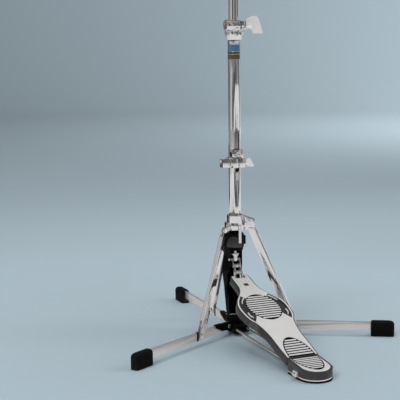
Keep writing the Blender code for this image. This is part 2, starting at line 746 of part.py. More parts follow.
def base_casting(stand, black):
    made = piece("base_casting", turned([(BASE_R - 0.002, BASE_LOW_Z), (BASE_R, BASE_LOW_Z + 0.002),
                                         (BASE_R, BASE_TOP_Z)], closed=False), black, parent=stand)
    half = LEG_THICK / 2
    for angle in LEG_ANGLES.values():
        turn = Matrix.Rotation(radians(angle), 4, "Z")
        outline = [(0.010, 0.0085)] + arc(LEG_PIVOT_R, LEG_PIVOT_Z, 0.0065, -75, 90, 8)
        outline.append((0.010, 0.0270))
        join(made, moved(upright_xz(outline, -half, half), turn))
        cut(made, moved(along_y(disc(PIN_R + RUNNING, -0.01, 0.01, 16), LEG_PIVOT_R, LEG_PIVOT_Z),
                        turn))
    join(made, box(-0.0145, 0.0145, -0.0280, -0.0100, 0.0060, 0.0200))
    for x in (-WIRE_X, WIRE_X):
        cut(made, along_y(disc(WIRE_R + GAP, -0.0400, -0.0120), x, WIRE_BASE_Z))


def tower_ring(height, rear_radius, rear_y, front, inset):
    """The tower's section: straight in front and round behind."""
    half = TOWER_HALF - inset
    made = [(half, front)] + arc(0, rear_y, rear_radius - inset, 5, 175, 16) + [(-half, front)]
    return [(x, y, height) for x, y in made]


def tower(stand, black):
    outside = rings([tower_ring(*level, 0.0) for level in TOWER_LEVELS])
    bmesh.ops.triangulate(outside, faces=outside.faces)
    made = piece("tower", outside, black, parent=stand)
    join(made, disc(TOWER_NECK_R, TOWER_LEVELS[-1][0] - 0.0035, TOWER_TOP_Z, ROUND))
    levels = [tower_ring(*level[:3], -0.03, TOWER_WALL) for level in TOWER_LEVELS]
    first, last = TOWER_LEVELS[0], TOWER_LEVELS[-1]
    levels[0] = tower_ring(first[0] - 0.005, *first[1:3], -0.03, TOWER_WALL)
    levels[-1] = tower_ring(last[0] - 0.0050, *last[1:3], -0.03, TOWER_WALL)
    inside = rings(levels)
    bmesh.ops.triangulate(inside, faces=inside.faces)
    cut(made, inside)
    cut(made, disc(TUBE_R + GAP, TUBE_FOOT_Z - GAP, TOWER_TOP_Z + 0.01, ROUND))
    cut(made, disc(BUSH_R + GAP, bush_low_z() - GAP, TUBE_FOOT_Z + 0.01, 24))
    cut(made, disc(ROD_R + 0.0015, last[0] - 0.02, TUBE_FOOT_Z, SMALL_ROUND))


BUSH_R = 0.0068
BUSH_HEIGHT = 0.0070


def bush_low_z():
    return TUBE_FOOT_Z - GAP - BUSH_HEIGHT


def rod_bush(stand, nylon):
    low = bush_low_z()
    piece("rod_bush", bush(ROD_R + RUNNING, BUSH_R, low, low + BUSH_HEIGHT - GAP, 24), nylon,
          parent=stand)


def cover_outline(inset):
    """The cover's plan: a small circle round the tube and a wider one behind it."""
    front_r = TOWER_NECK_R + GAP + COVER_WALL - inset
    rear_r = COVER_REAR_R - inset
    lean = asin((rear_r - front_r) / COVER_REAR_Y) * 180 / pi
    return (arc(0, COVER_REAR_Y, rear_r, -lean, 180 + lean, 20)
            + arc(0, 0, front_r, 180 + lean, 360 - lean, 20))


def tower_cover(stand, plastic):
    made = piece("tower_cover", prism(cover_outline(0), COVER_LOW_Z, COVER_TOP_Z), plastic,
                 parent=stand)
    cut(made, prism(cover_outline(COVER_WALL), COVER_LOW_Z - 0.01, TOWER_TOP_Z + GAP))
    cut(made, disc(TUBE_R + GAP, COVER_LOW_Z - 0.01, COVER_TOP_Z + 0.01, ROUND))
    join(made, box(0.0155, 0.0195, -0.0040, 0.0040, 0.1660, 0.1820))
    # The back strut passes behind the cover, so the cover is notched for it.
    notch = strut_width() / 2 + 0.0016
    cut(made, box(-notch, notch, 0.0245, 0.05, COVER_LOW_Z - 0.01, COVER_TOP_Z + 0.01))


# ---------------------------------------------------------------- pedal

def on_board(bm):
    """Lays what was drawn as (x, t, n) on the footboard's face."""
    slope = Matrix.Rotation(BOARD_SLOPE, 4, "X")
    return moved(bm, Matrix.Translation((0, HINGE_LINE_Y, HINGE_LINE_Z)) @ slope)


def board_outline(inset=0.0, start=0.0):
    """The footboard's outline as (x, t): a smooth curve up one side, a rounded toe, and back."""
    right = smooth_through([(half, t) for t, half in BOARD_HALF_WIDTHS], 4)
    side = [(point[0] - inset, max(point[1], start)) for point in right]
    toe_half = BOARD_HALF_WIDTHS[-1][1] - inset
    side += arc(toe_half - TOE_CORNER, BOARD_LENGTH - inset - TOE_CORNER, TOE_CORNER, 0, 90, 5)
    return side + [(-x, t) for x, t in side[::-1]]


def grille_slots(middle, long, wide, ribs, t_low, t_high, depth):
    """The gaps between cross ribs that fill an ellipse, each cut to the ellipse's chord."""
    pitch = long / ribs
    cutters = []
    for i in range(ribs):
        t = middle - long / 2 + pitch * (i + 0.5)
        reach = abs(t - middle) / (long / 2)
        half = wide / 2 * cos(asin(min(reach, 0.98)))
        gap = pitch * (1 - RIB_SHARE) / 2
        if t - gap < t_low or t + gap > t_high or half < 0.004:
            continue
        cutters.append(box(-half, half, t - gap, t + gap, -depth, 0.01))
    return merge(*cutters)


def wing_recess(side):
    """The crescent between the round grille and the rim."""
    inner = 0.0330
    points = []
    for t, half in ((0.116, 0.034), (0.132, 0.0415), (0.154, 0.0430), (0.176, 0.0375),
                    (0.188, 0.030)):
        points.append((side * half, t))
    for t, half in ((0.180, 0.0275), (0.154, inner), (0.128, 0.0310)):
        points.append((side * half, t))
    return prism(points, -RIB_DEPTH, 0.01)


def footboard(stand, alloy):
    made = piece("footboard", on_board(prism(board_outline(), -BOARD_DEPTH, 0)), alloy,
                 origin=(0, PEDAL_PIVOT_Y, PEDAL_PIVOT_Z), parent=stand)
    hollow = [(x, t - 0.02 if t < 0.001 else min(t, TOE_BLOCK_T))
              for x, t in board_outline(BOARD_WALL) if t < TOE_BLOCK_T + 0.006]
    cut(made, on_board(prism(hollow, -BOARD_DEPTH - 0.01, -BOARD_PLATE)))
    cheek = CHAIN_OUTER_X + CHAIN_SHEET + 0.0014
    cut(made, on_board(box(-cheek, cheek, CHAIN_END_T - 0.009, BOARD_LENGTH + 0.01, -0.03, 0.01)))
    y, z = board_point(CHAIN_END_T, -CHAIN_END_DEPTH)
    cut(made, along_x(disc(CHAIN_PIN_R + 0.0010, -0.03, 0.03), y, z))
    cut(made, on_board(grille_slots(GRILLE_T, GRILLE_LONG, GRILLE_WIDE, GRILLE_RIBS, 0, 1,
                                    RIB_DEPTH)))
    cut(made, on_board(grille_slots(0.0, 2 * HEEL_GRILLE_LENGTH, 2 * HEEL_GRILLE_HALF, 16, 0.004,
                                    1, RIB_DEPTH)))
    for side in (-1, 1):
        cut(made, on_board(wing_recess(side)))
        join(made, tongue(side))
    cut(made, along_x(disc(PEDAL_PIN_R + RUNNING, -0.04, 0.04), PEDAL_PIVOT_Y, PEDAL_PIVOT_Z))


def tongue(side):
    """One of the two arms that run back under the heel plate to the heel pin."""
    outline = [(-0.2490, 0.0266), (-0.2636, 0.0216), (-0.2650, 0.0152)]
    outline += arc(PEDAL_PIVOT_Y, PEDAL_PIVOT_Z, 0.0046, 90, 270, 8)
    outline += [(-0.2640, 0.0106), (-0.2470, 0.0190)]
    low = side * TONGUE_X - TONGUE_WIDTH / 2
    return upright_yz(outline, low, low + TONGUE_WIDTH)


def heel_outline(inset, front):
    """The heel's outline as (x, y): straight sides and a round back."""
    half = HEEL_HALF - inset
    back = HEEL_REACH - inset
    return [(half, front)] + [(x, y) for x, y in arc(0, -back + half, half, 0, -180, 20)] + [
        (-half, front)]


def heel_top_z(y):
    """Height of the heel plate's sloping face."""
    share = (HEEL_FRONT_Y - y) / (HEEL_REACH + HEEL_FRONT_Y)
    return HEEL_TOP_FRONT_Z + (HEEL_TOP_REAR_Z - HEEL_TOP_FRONT_Z) * share


def follow_heel_top(bm, from_z, drop):
    """Lifts what lies above `from_z` to `drop` under the heel's sloping face."""
    for vert in bm.verts:
        if vert.co.z > from_z:
            vert.co.z = heel_top_z(vert.co.y) - drop
    return bm


def heel_plate(stand, alloy):
    low = PAD_THICK + HEEL_SHEET + 2 * GAP
    solid = follow_heel_top(prism(heel_outline(0, HEEL_FRONT_Y), low, low + 0.01), low + 0.001, 0.0)
    made = piece("heel_plate", solid, alloy, parent=stand)
    hollow = prism(heel_outline(0.0028, HEEL_FRONT_Y + 0.02), low - 0.01, low + 0.01)
    cut(made, follow_heel_top(hollow, low, HEEL_SKIN))
    cut(made, along_x(disc(PEDAL_PIN_R + RUNNING, -0.04, 0.04), PEDAL_PIVOT_Y, PEDAL_PIVOT_Z))
    length = 0.050
    slots = grille_slots(HEEL_FRONT_Y, 2 * length, 2 * HEEL_GRILLE_HALF, 16, -1,
                         HEEL_FRONT_Y - 0.004, 0.0)
    for vert in slots.verts:
        vert.co.z += heel_top_z(vert.co.y) - 0.0012
    cut(made, slots)


def heel_base_plate(stand, steel):
    low = PAD_THICK + GAP
    piece("heel_base_plate", prism(heel_outline(0.0008, HEEL_FRONT_Y + 0.003), low,
                                   low + HEEL_SHEET), steel, parent=stand)


def heel_pad(stand, rubber):
    piece("heel_pad", prism(heel_outline(0.0, HEEL_FRONT_Y + 0.001), 0, PAD_THICK), rubber,
          parent=stand)


def heel_pin(stand, steel):
    end = HEEL_HALF + 0.0045
    made = piece("heel_pin", along_x(disc(PEDAL_PIN_R, -end, end), PEDAL_PIVOT_Y, PEDAL_PIVOT_Z),
                 steel, origin=(0, PEDAL_PIVOT_Y, PEDAL_PIVOT_Z), parent=stand)
    for side in (-1, 1):
        ends = sorted((side * (HEEL_HALF + 0.0004), side * (HEEL_HALF + 0.0030)))
        join(made, along_x(disc(0.0042, *ends, 6), PEDAL_PIVOT_Y, PEDAL_PIVOT_Z))


def radius_rod(stand, steel):
    """One wire bent to a long U, from the base's two holes to the heel and back."""
    turn_r = WIRE_X
    back_y = PEDAL_PIVOT_Y + 0.0125 + turn_r - 0.004
    side = [(WIRE_X, -0.0135, WIRE_BASE_Z), (WIRE_X, -0.0450, WIRE_BASE_Z),
            (WIRE_X, -0.1000, WIRE_BASE_Z - 0.0012), (WIRE_X, -0.1700, WIRE_HEEL_Z + 0.0010),
            (WIRE_X, -0.2350, WIRE_HEEL_Z), (WIRE_X, back_y, WIRE_HEEL_Z)]
    path = list(side)
    path += [(x, y, WIRE_HEEL_Z) for x, y in arc(0, back_y, turn_r, -15, -165, 10)]
    path += [(-x, y, z) for x, y, z in side[::-1]]
    curve = bpy.data.curves.new("radius_rod", "CURVE")
    curve.dimensions = "3D"
    curve.bevel_depth = WIRE_R
    curve.bevel_resolution = 1
    curve.use_fill_caps = True
    spline = curve.splines.new("POLY")
    spline.points.add(len(path) - 1)
    for point, at in zip(spline.points, path):
        point.co = (*at, 1)
    curve.materials.append(steel)
    made = bpy.data.objects.new("radius_rod", curve)
    bpy.context.scene.collection.objects.link(made)
    made.parent = stand


# ---------------------------------------------------------------- seat, cymbals, clutch

def seat_base(stand, chrome):
    """The fitting on the upper tube's top that carries the tilting seat."""
    top = SEAT_TILT_Z - 0.0014
    low = top - SEAT_BASE_HEIGHT
    bore = UPPER_R + GAP
    hole = ROD_R + 0.0010
    profile = [(SEAT_BASE_R, low), (SEAT_BASE_R, top - 0.002), (SEAT_BASE_R - 0.002, top),
               (hole, top), (hole, UPPER_TOP_Z + GAP), (bore, UPPER_TOP_Z + GAP), (bore, low)]
    made = piece("seat_base", turned(profile), chrome, parent=stand)
    cut(made, along_y(disc(0.0025 + RUNNING, -0.03, -UPPER_R), 0, low + 0.010))


def tilt_screw(stand, steel):
    z = SEAT_TILT_Z - 0.0014 - SEAT_BASE_HEIGHT + 0.010
    made = piece("tilt_screw", along_y(disc(0.0070, -SEAT_BASE_R - 0.0100, -SEAT_BASE_R - 0.0040, 16),
                                       0, z), steel, origin=(0, 0, z), parent=stand)
    join(made, along_y(disc(0.0025, -SEAT_BASE_R - 0.0060, -UPPER_R - 2 * GAP, 16), 0, z))


def seat_cup(stand, plastic):
    low = SEAT_TILT_Z
    profile = [(SEAT_NECK_R, low), (SEAT_NECK_R, low + 0.004), (SEAT_R, low + SEAT_HEIGHT - 0.002),
               (SEAT_R, low + SEAT_HEIGHT), (FELT_BORE, low + SEAT_HEIGHT), (FELT_BORE, low)]
    piece("seat_cup", turned(profile), plastic, origin=(0, 0, SEAT_TILT_Z), parent=stand)


def felt(name, low, stand, wool, origin_z):
    piece(name, turned([(FELT_R - 0.001, low), (FELT_R, low + 0.001), (FELT_R, low + FELT_THICK - 0.001),
                        (FELT_R - 0.001, low + FELT_THICK), (FELT_BORE, low + FELT_THICK),
                        (FELT_BORE, low)], 32), wool, origin=(0, 0, origin_z), parent=stand)


def cymbal_curve(thickness):
    """(radius, height above the edge) over a cymbal's top, bell first, for one face."""
    bell_low = BOW_HEIGHT
    flat = FELT_R
    made = [(CYMBAL_HOLE_R, bell_low + BELL_HEIGHT), (flat, bell_low + BELL_HEIGHT - 0.0012)]
    for share in (0.35, 0.65, 0.88, 1.0):
        radius = flat + (BELL_R - flat) * share
        made.append((radius, bell_low + (BELL_HEIGHT - 0.0012) * cos(share * pi / 2) ** 0.8))
    for share in (0.25, 0.5, 0.75, 1.0):
        radius = BELL_R + (CYMBAL_R - BELL_R) * share
        made.append((radius, bell_low * (1 - share ** 1.6)))
    return [(radius, height + thickness) for radius, height in made]


def cymbal_solid(edge_z, up):
    """A cymbal with its edge at `edge_z`, its bell up or down, of even thickness."""
    top, bottom = cymbal_curve(CYMBAL_THICK), cymbal_curve(0.0)
    sign = 1 if up else -1
    profile = [(r, edge_z + sign * z) for r, z in top + bottom[::-1]]
    return turned(profile, 36)


def bottom_stack():
    """Heights of the bottom felt, the bottom cymbal's lowest point and its edge."""
    felt_z = SEAT_TILT_Z + SEAT_HEIGHT + GAP
    bell_z = felt_z + FELT_THICK + GAP
    return felt_z, bell_z, bell_z + CYMBAL_THICK + BELL_HEIGHT + BOW_HEIGHT


def top_edge_z():
    return bottom_stack()[2] + OPEN_GAP


def clutch_stack():
    """Heights of the clutch's lower nut, lower felt, upper felt and upper nut."""
    bell_under = top_edge_z() + BELL_HEIGHT + BOW_HEIGHT - 0.0012
    lower_felt = bell_under - GAP - FELT_THICK
    lower_nut = lower_felt - GAP - CLUTCH_NUT_HEIGHT
    upper_felt = top_edge_z() + BELL_HEIGHT + BOW_HEIGHT + CYMBAL_THICK + GAP
    upper_nut = upper_felt + FELT_THICK + GAP
    return lower_nut, lower_felt, upper_felt, upper_nut


def seat_and_cymbal(stand, plastic, wool, bronze):
    seat_cup(stand, plastic)
    felt_z, _, edge = bottom_stack()
    felt("bottom_felt", felt_z, stand, wool, SEAT_TILT_Z)
    piece("bottom_cymbal", cymbal_solid(edge, False), bronze, origin=(0, 0, SEAT_TILT_Z),
          parent=stand)


def clutch(stand, chrome, wool, bronze, satin):
    lower_nut, lower_felt, upper_felt, upper_nut = clutch_stack()
    felt("lower_clutch_felt", lower_felt, stand, wool, 0.0)
    felt("upper_clutch_felt", upper_felt, stand, wool, 0.0)
    piece("top_cymbal", cymbal_solid(top_edge_z(), True), bronze, parent=stand)
    bore = CLUTCH_STEM_R + GAP
    for name, low in (("lower_clutch_nut", lower_nut), ("upper_clutch_nut", upper_nut)):
        piece(name, turned([(CLUTCH_NUT_R, low), (CLUTCH_NUT_R, low + CLUTCH_NUT_HEIGHT),
                            (bore, low + CLUTCH_NUT_HEIGHT), (bore, low)], 24), chrome, parent=stand)
    head = upper_nut + CLUTCH_NUT_HEIGHT + GAP
    hole = ROD_R + RUNNING
    profile = [(CLUTCH_STEM_R, lower_nut), (CLUTCH_STEM_R, head), (CLUTCH_HEAD_R, head),
               (CLUTCH_HEAD_R, head + CLUTCH_HEAD_HEIGHT - 0.001),
               (CLUTCH_HEAD_R - 0.001, head + CLUTCH_HEAD_HEIGHT),
               (hole, head + CLUTCH_HEAD_HEIGHT), (hole, lower_nut)]
    middle = head + CLUTCH_HEAD_HEIGHT / 2
    made = piece("clutch_body", turned(profile, 32), chrome, parent=stand)
    cut(made, along_x(disc(0.0026 + RUNNING, 0.001, 0.02, 16), 0, middle))
    outline = [(0.0130, -0.0040), (0.0130, 0.0040), (0.0170, 0.0095), (0.0235, 0.0125),
               (0.0270, 0.0085), (0.0270, -0.0085), (0.0235, -0.0125), (0.0170, -0.0095)]
    wing_plate("clutch_wing", outline, 0.0, middle, (0.0098, 0.0160, 0.0042),
               (ROD_R + 2 * GAP, None, 0.0026), satin, stand, 0.0034)


# ---------------------------------------------------------------- assembly

def build():
    clear_scene()
    chrome = finish("chrome", (0.74, 0.74, 0.73), 0.10, 1.0)
    satin = finish("satin_chrome", (0.86, 0.86, 0.85), 0.28, 1.0)
    steel = finish("bright_steel", (0.70, 0.70, 0.69), 0.22, 1.0)
    alloy = finish("polished_alloy", (0.66, 0.66, 0.65), 0.22, 1.0)
    cast = finish("cast_alloy", (0.10, 0.10, 0.11), 0.45, 0.2)
    black = finish("black_paint", (0.012, 0.012, 0.013), 0.30, 0.0)
    plastic = finish("black_plastic", (0.030, 0.030, 0.033), 0.42, 0.0)
    rubber = finish("rubber", (0.022, 0.022, 0.023), 0.70, 0.0)
    nylon = finish("nylon", (0.80, 0.80, 0.76), 0.45, 0.0)
    wool = finish("wool_felt", (0.10, 0.10, 0.11), 0.95, 0.0)
    bronze = finish("bronze", (0.80, 0.58, 0.25), 0.28, 1.0)

    stand = empty("stand_axis", (0, AXIS_Y, 0))
    lower_tube(stand, chrome)
    tube_socket(stand, chrome)
    height_collar(stand, chrome)
    height_wing(stand, satin)
    tower(stand, black)
    rod_bush(stand, nylon)
    tower_cover(stand, plastic)
    base_casting(stand, black)
    radius_rod(stand, steel)
    heel_pad(stand, rubber)
    heel_base_plate(stand, steel)
    heel_plate(stand, cast)
    heel_pin(stand, steel)
    footboard(stand, cast)

    tripod_hub(stand, chrome)
    for letter, angle in LEG_ANGLES.items():
        frame = empty(f"leg_{letter}_frame", turn=radians(angle), parent=stand)
        leg(letter, frame, alloy)
        leg_bracket(letter, frame, black)
        leg_pivot_bolt(letter, frame, steel)
        foot(letter, frame, rubber)
        strut(letter, frame, chrome)
        strut_pin(letter, frame, steel)
        if letter == "c":
            hub_bolt(frame, steel)

    pull_rod(stand, steel)
    pull_fork(stand, steel)
    chain_top_pin(stand, steel)
    chain(stand, steel)
    spring_collar(stand, steel)
    return_spring(stand, steel)
    spring_cup(stand, chrome)
    tension_block(stand, chrome)
    tension_collar(stand, chrome)
    tension_screw(stand, steel)
    tension_wing(stand, satin)

    upper_tube(stand, chrome)
    seat_base(stand, chrome)
    tilt_screw(stand, steel)
    seat_and_cymbal(stand, plastic, wool, bronze)
    clutch(stand, chrome, wool, bronze, satin)


build()
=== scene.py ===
"""The looks of the flat-base hi-hat stand: finishes, fine pieces, studio and camera."""
import json
from math import asin, atan, cos, pi, radians, sin, sqrt, tan

import bmesh
import bpy
from mathutils import Matrix, Vector


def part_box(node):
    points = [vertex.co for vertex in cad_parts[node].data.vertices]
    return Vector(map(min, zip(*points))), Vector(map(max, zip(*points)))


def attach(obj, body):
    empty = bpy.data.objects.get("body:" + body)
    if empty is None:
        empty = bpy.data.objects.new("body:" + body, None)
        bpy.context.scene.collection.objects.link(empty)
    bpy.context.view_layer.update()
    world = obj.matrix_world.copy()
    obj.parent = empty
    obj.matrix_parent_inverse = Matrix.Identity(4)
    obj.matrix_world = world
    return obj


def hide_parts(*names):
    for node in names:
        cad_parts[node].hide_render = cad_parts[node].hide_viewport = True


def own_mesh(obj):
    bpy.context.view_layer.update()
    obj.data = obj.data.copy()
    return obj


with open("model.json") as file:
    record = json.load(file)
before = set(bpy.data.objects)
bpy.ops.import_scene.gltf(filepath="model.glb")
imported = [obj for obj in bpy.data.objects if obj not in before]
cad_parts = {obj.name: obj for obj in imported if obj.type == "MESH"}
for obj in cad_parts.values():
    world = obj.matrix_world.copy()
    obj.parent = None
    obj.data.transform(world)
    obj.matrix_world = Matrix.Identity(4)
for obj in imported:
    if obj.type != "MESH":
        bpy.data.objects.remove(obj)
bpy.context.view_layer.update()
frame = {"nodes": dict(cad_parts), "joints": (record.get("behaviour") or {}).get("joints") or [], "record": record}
NODES = frame["nodes"]
JOINTS = {joint["name"]: joint for joint in frame["joints"]}

AXIS_Y = sum(corner.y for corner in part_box("lower_tube")) / 2

# Camera
CAMERA_AT = (-0.8125, AXIS_Y - 1.7904, 0.5392)
CAMERA_TURN = radians(22.556)
CAMERA_DIP = radians(8.402)
CAMERA_ROLL = radians(-0.647)
CAMERA_LENS = 98.0

# Pedal, in metres along and across the footboard's face
BOARD_SLOPE = radians(18.9)
BOARD_LENGTH = 0.2640
BOARD_DEPTH = 0.0135
BOARD_HALF_WIDTHS = (   # distance from the hinge line, half width
    (0.000, 0.0285), (0.032, 0.0298), (0.069, 0.0302), (0.103, 0.0357), (0.1225, 0.0440),
    (0.154, 0.0473), (0.178, 0.0415), (0.204, 0.0255), (0.222, 0.0190), (0.248, 0.0182))
FACE_INSET = 0.0019
HEEL_FACE_INSET = 0.0040
FACE_THICK = 0.0006
FACE_LIFT = 0.00005        # how far the bright faces and ribs lie over the casting
FACE_TO_HINGE = 0.0012
TOE_ROUND = 0.0050
TOE_MARGIN = 0.0012
TOE_NOTCH_HALF = 0.0098
TOE_NOTCH_DEEP = 0.0093
KEY_HOLE_T = 0.2303
KEY_HOLE_HALF = 0.0044
KEY_HOLE_ROUND = 0.0008
GRILLE_T = 0.154
GRILLE_LONG = 0.0800
GRILLE_WIDE = 0.0580
GRILLE_RIBS = 12
RIB_SHARE = 0.54           # rib width over the distance between ribs
RIB_RISE = 0.0009
RIB_SOFT = 0.0003
SHORTEST_RIB = 0.0080
TREAD_RIM = 0.0014
# The near-black beds under the ribs, which carry painted shade for the slots between them
BED_THICK = 0.00016
BED_LIFT = 0.00003
BED_EDGE = 0.00004
BED_TO_HINGE = 0.0014
BED_GROW = 0.001           # the heel treads' beds reach this far past the ribs
BED_SHARE = 1.035          # the round tread's bed over the tread itself
CRESCENT_SPAN = (0.109, 0.197)
CRESCENT_TURNS = (-36, 50)  # degrees round the tread at which a crescent leaves it
CRESCENT_INSET = 0.0046
CRESCENT_LIP_R = 0.0012
CRESCENT_LIP_BOW = 0.0016
CRESCENT_LIPS = {           # distances from the hinge line, then half widths
    "upper": (0.1700, 0.1880, 0.0338, 0.0235), "lower": (0.1235, 0.1400, 0.0330, 0.0362)}
HEEL_TREAD_LONG = 0.0540
HEEL_TREAD_HALF = 0.0228
HEEL_RIBS = 16
HEEL_RIBS_LONG = 0.106
HEEL_NUT_HALF = 0.0050
HEEL_NUT_GAP = 0.0004
HEEL_NUT_THICK = 0.0058
HEEL_BOLT_R = 0.0022
HEEL_BOLT_END = 0.0030
HEEL_TOP_FRONT_Z = 0.0246
HEEL_TOP_REAR_Z = 0.0172

# Stand
LEG_ANGLES = {"a": 210.0, "b": 90.0, "c": 330.0}
LEG_THICK = 0.0036
FOOT_REACH = 0.290
FOOT_LENGTH = 0.0422
FOOT_WIDTH = 0.0166
FOOT_HEIGHT = 0.0283
FOOT_GROOVE = 0.0014
TUBE_WALL = 0.0012
UPPER_TUBE_WALL = 0.0013
SLOT_WIDTH = 0.0104
SLOT_LOW_Z = 0.300
SLOT_TOP_Z = 0.376
SLOT_LIP_R = 0.0005
LABEL_FILM = (0.00002, 0.00012)  # its inner and outer face over the tube
WIRE_R = 0.00225
WIRE_BENDS = (             # distance from the base end, height over the heel or the base
    (0.030, 0.0), (0.085, -0.0012), (0.155, 0.0010), (0.220, 0.0))
CUP_WALL = 0.0016
CUP_FLOOR = 0.0035
CUP_BORE_R = 0.0036
FORK_STEM_HALF = 0.0031
WING_BORE_R = 0.0037
SPRING_WIRE_R = 0.0009
SPRING_TURNS = 9
HUB_BOLT_HEAD_HALF = 0.0058
HUB_BOLT_HEAD_DEEP = 0.0030
HUB_BOLT_BOSS_R = 0.0042
HUB_BOLT_R = 0.0022
HUB_LUG_HALF = 0.0068
# Thin black bands on legs a and b, near their struts
LEG_BLACK_BANDS = {"a": (0.1150, 0.1205), "b": (0.0900, 0.0950)}  # distances from the axis
LEG_BAND_STANDOFF = 0.0002      # how far the band stands off the leg
DOME_BEARING = -122
DOME_SPREAD = 58
DOME_PROUD = 0.0006
DOME_ROUND = 0.010

# Cymbals
CYMBAL_THICK = 0.0012
CYMBAL_HOLE_R = 0.0065
BELL_R = 0.0460
BELL_HEIGHT = 0.0180
BOW_HEIGHT = 0.0130
BELL_FULLNESS = 0.8
BOW_FULLNESS = 1.6
FELT_BORE = 0.0065
SEAT_NECK_R = 0.0075

# Studio: cards as (bearing, angle that it fills, brightness), and the floor
MIRROR_CARDS = ((-76, 16, 0.75), (-44, 15, 0.10), (-21, 11, 0.62), (15, 20, 0.14), (38, 16, 0.45),
                (70, 22, 0.20), (108, 24, 0.55), (150, 14, 0.22), (178, 12, 0.14), (-140, 10, 0.45),
                (-101, 20, 0.55), (-122, 10, 0.14))
FLOOR_R = 6.0
COVE_R = 2.5
WALL_TOP = 6.5
FLOOR_COLOUR = (0.375, 0.472, 0.530)
FLOOR_BOUNCE = (0.76, 0.76, 0.755)
WALL_BOUNCE = (0.34, 0.34, 0.34)
BOUNCE_HEIGHTS = (0.02, 1.20)  # the floor's bounce turns into the wall's between these
CARD_LOW = 0.26
CARD_HIGH = 2.4
CARD_DISTANCE = 1.5
AIR_LIGHT = 0.24
SOFT_LIGHTS = (            # name, place, what it is aimed at, size, watts
    ("key_from_left", (-2.6, -1.6, 2.6), (0, 0, 0.4), (1.6, 2.2), 70),
    ("fill_from_right", (2.8, -1.2, 1.6), (0, 0, 0.4), (1.2, 2.4), 44),
    ("top", (0.2, 0.3, 3.2), (0, 0, 0), (2.6, 2.6), 66),
    ("wall_wash", (3.9, 2.2, 2.4), (4.6, 7.0, 0.5), (1.2, 1.2), 175))


# ---------------------------------------------------------------- mesh tools

def mesh_object(name, bm, look=None, smooth_angle=35):
    """Makes an object of `bm`, smooth up to the given angle between faces."""
    bmesh.ops.recalc_face_normals(bm, faces=bm.faces)
    mesh = bpy.data.meshes.new(name)
    bm.to_mesh(mesh)
    bm.free()
    mesh.shade_smooth()
    if smooth_angle is not None:
        mesh.set_sharp_from_angle(angle=radians(smooth_angle))
    made = bpy.data.objects.new(name, mesh)
    bpy.context.scene.collection.objects.link(made)
    if look:
        mesh.materials.append(look)
    return made


def place(made, body, slot=None, *nodes):
    """The piece rides on `body` and stands for `nodes`; `slot` is not used."""
    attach(made, body)
    if nodes:
        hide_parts(*nodes)
    return made


def skin(bm, levels, closed=False):
    """Joins rings of points, and closes the ends or joins the last ring to the first."""
    rows = [[bm.verts.new(point) for point in ring] for ring in levels]
    count = len(rows[0])
    pairs = list(zip(rows, rows[1:]))
    if closed:
        pairs.append((rows[-1], rows[0]))
    for low, high in pairs:
        for i in range(count):
            j = (i + 1) % count
            bm.faces.new((low[i], low[j], high[j], high[i]))
    if not closed:
        bm.faces.new(rows[0][::-1])
        bm.faces.new(rows[-1])


def turned(bm, profile, count=64, closed=True, matrix=None):
    """Adds a body revolved about Z from (radius, height) points, as a ring or with flat ends."""
    matrix = matrix or Matrix()
    levels = []
    for radius, height in profile:
        angles = [2 * pi * i / count for i in range(count)]
        levels.append([matrix @ Vector((radius * cos(a), radius * sin(a), height)) for a in angles])
    skin(bm, levels, closed)


def rounded(profile, radius, steps=4):
    """Rounds each corner of a closed (radius, height) profile."""
    made = []
    count = len(profile)
    for i in range(count):
        before, here, after = (Vector(profile[(i + k) % count]) for k in (-1, 0, 1))
        back, ahead = before - here, after - here
        r = min(radius, back.length * 0.45, ahead.length * 0.45)
        start, end = here + back.normalized() * r, here + ahead.normalized() * r
        for k in range(steps + 1):
            u = k / steps
            point = start * (1 - u) ** 2 + here * 2 * u * (1 - u) + end * u ** 2
            made.append((point.x, point.y))
    return made


def bevelled(made, width, segments=3, angle=30):
    """Rounds every edge that is sharper than `angle` degrees."""
    bevel = made.modifiers.new("soft_edges", "BEVEL")
    bevel.width = width
    bevel.segments = segments
    bevel.limit_method = "ANGLE"
    bevel.angle_limit = radians(angle)
    bevel.harden_normals = False
    return made


def tidy_cad(node, width=0.0004, angle=35):
    """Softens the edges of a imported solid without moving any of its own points."""
    made = NODES[node]
    weld = made.modifiers.new("weld", "WELD")
    weld.merge_threshold = 0.00001
    if width:
        bevelled(made, width, 2, angle)
        made.modifiers["soft_edges"].use_clamp_overlap = True
    made.data.shade_smooth()
    made.data.set_sharp_from_angle(angle=radians(angle))
    return made


# ---------------------------------------------------------------- materials

def group(name, inputs, outputs):
    """A shader node group with float inputs and named outputs."""
    made = bpy.data.node_groups.new(name, "ShaderNodeTree")
    for label, value in inputs:
        socket = made.interface.new_socket(label, in_out="INPUT", socket_type="NodeSocketFloat")
        socket.default_value = value
    for label, kind in outputs:
        made.interface.new_socket(label, in_out="OUTPUT", socket_type=kind)
    return made, made.nodes.new("NodeGroupInput"), made.nodes.new("NodeGroupOutput")


def math_node(tree, operation, first, second=None, clamp=False):
    """One step of arithmetic on sockets or numbers."""
    made = tree.nodes.new("ShaderNodeMath")
    made.operation = operation
    made.use_clamp = clamp
    for i, value in enumerate((first, second)):
        if value is None:
            continue
        if isinstance(value, (int, float)):
            made.inputs[i].default_value = value
        else:
            tree.links.new(value, made.inputs[i])
    return made.outputs[0]


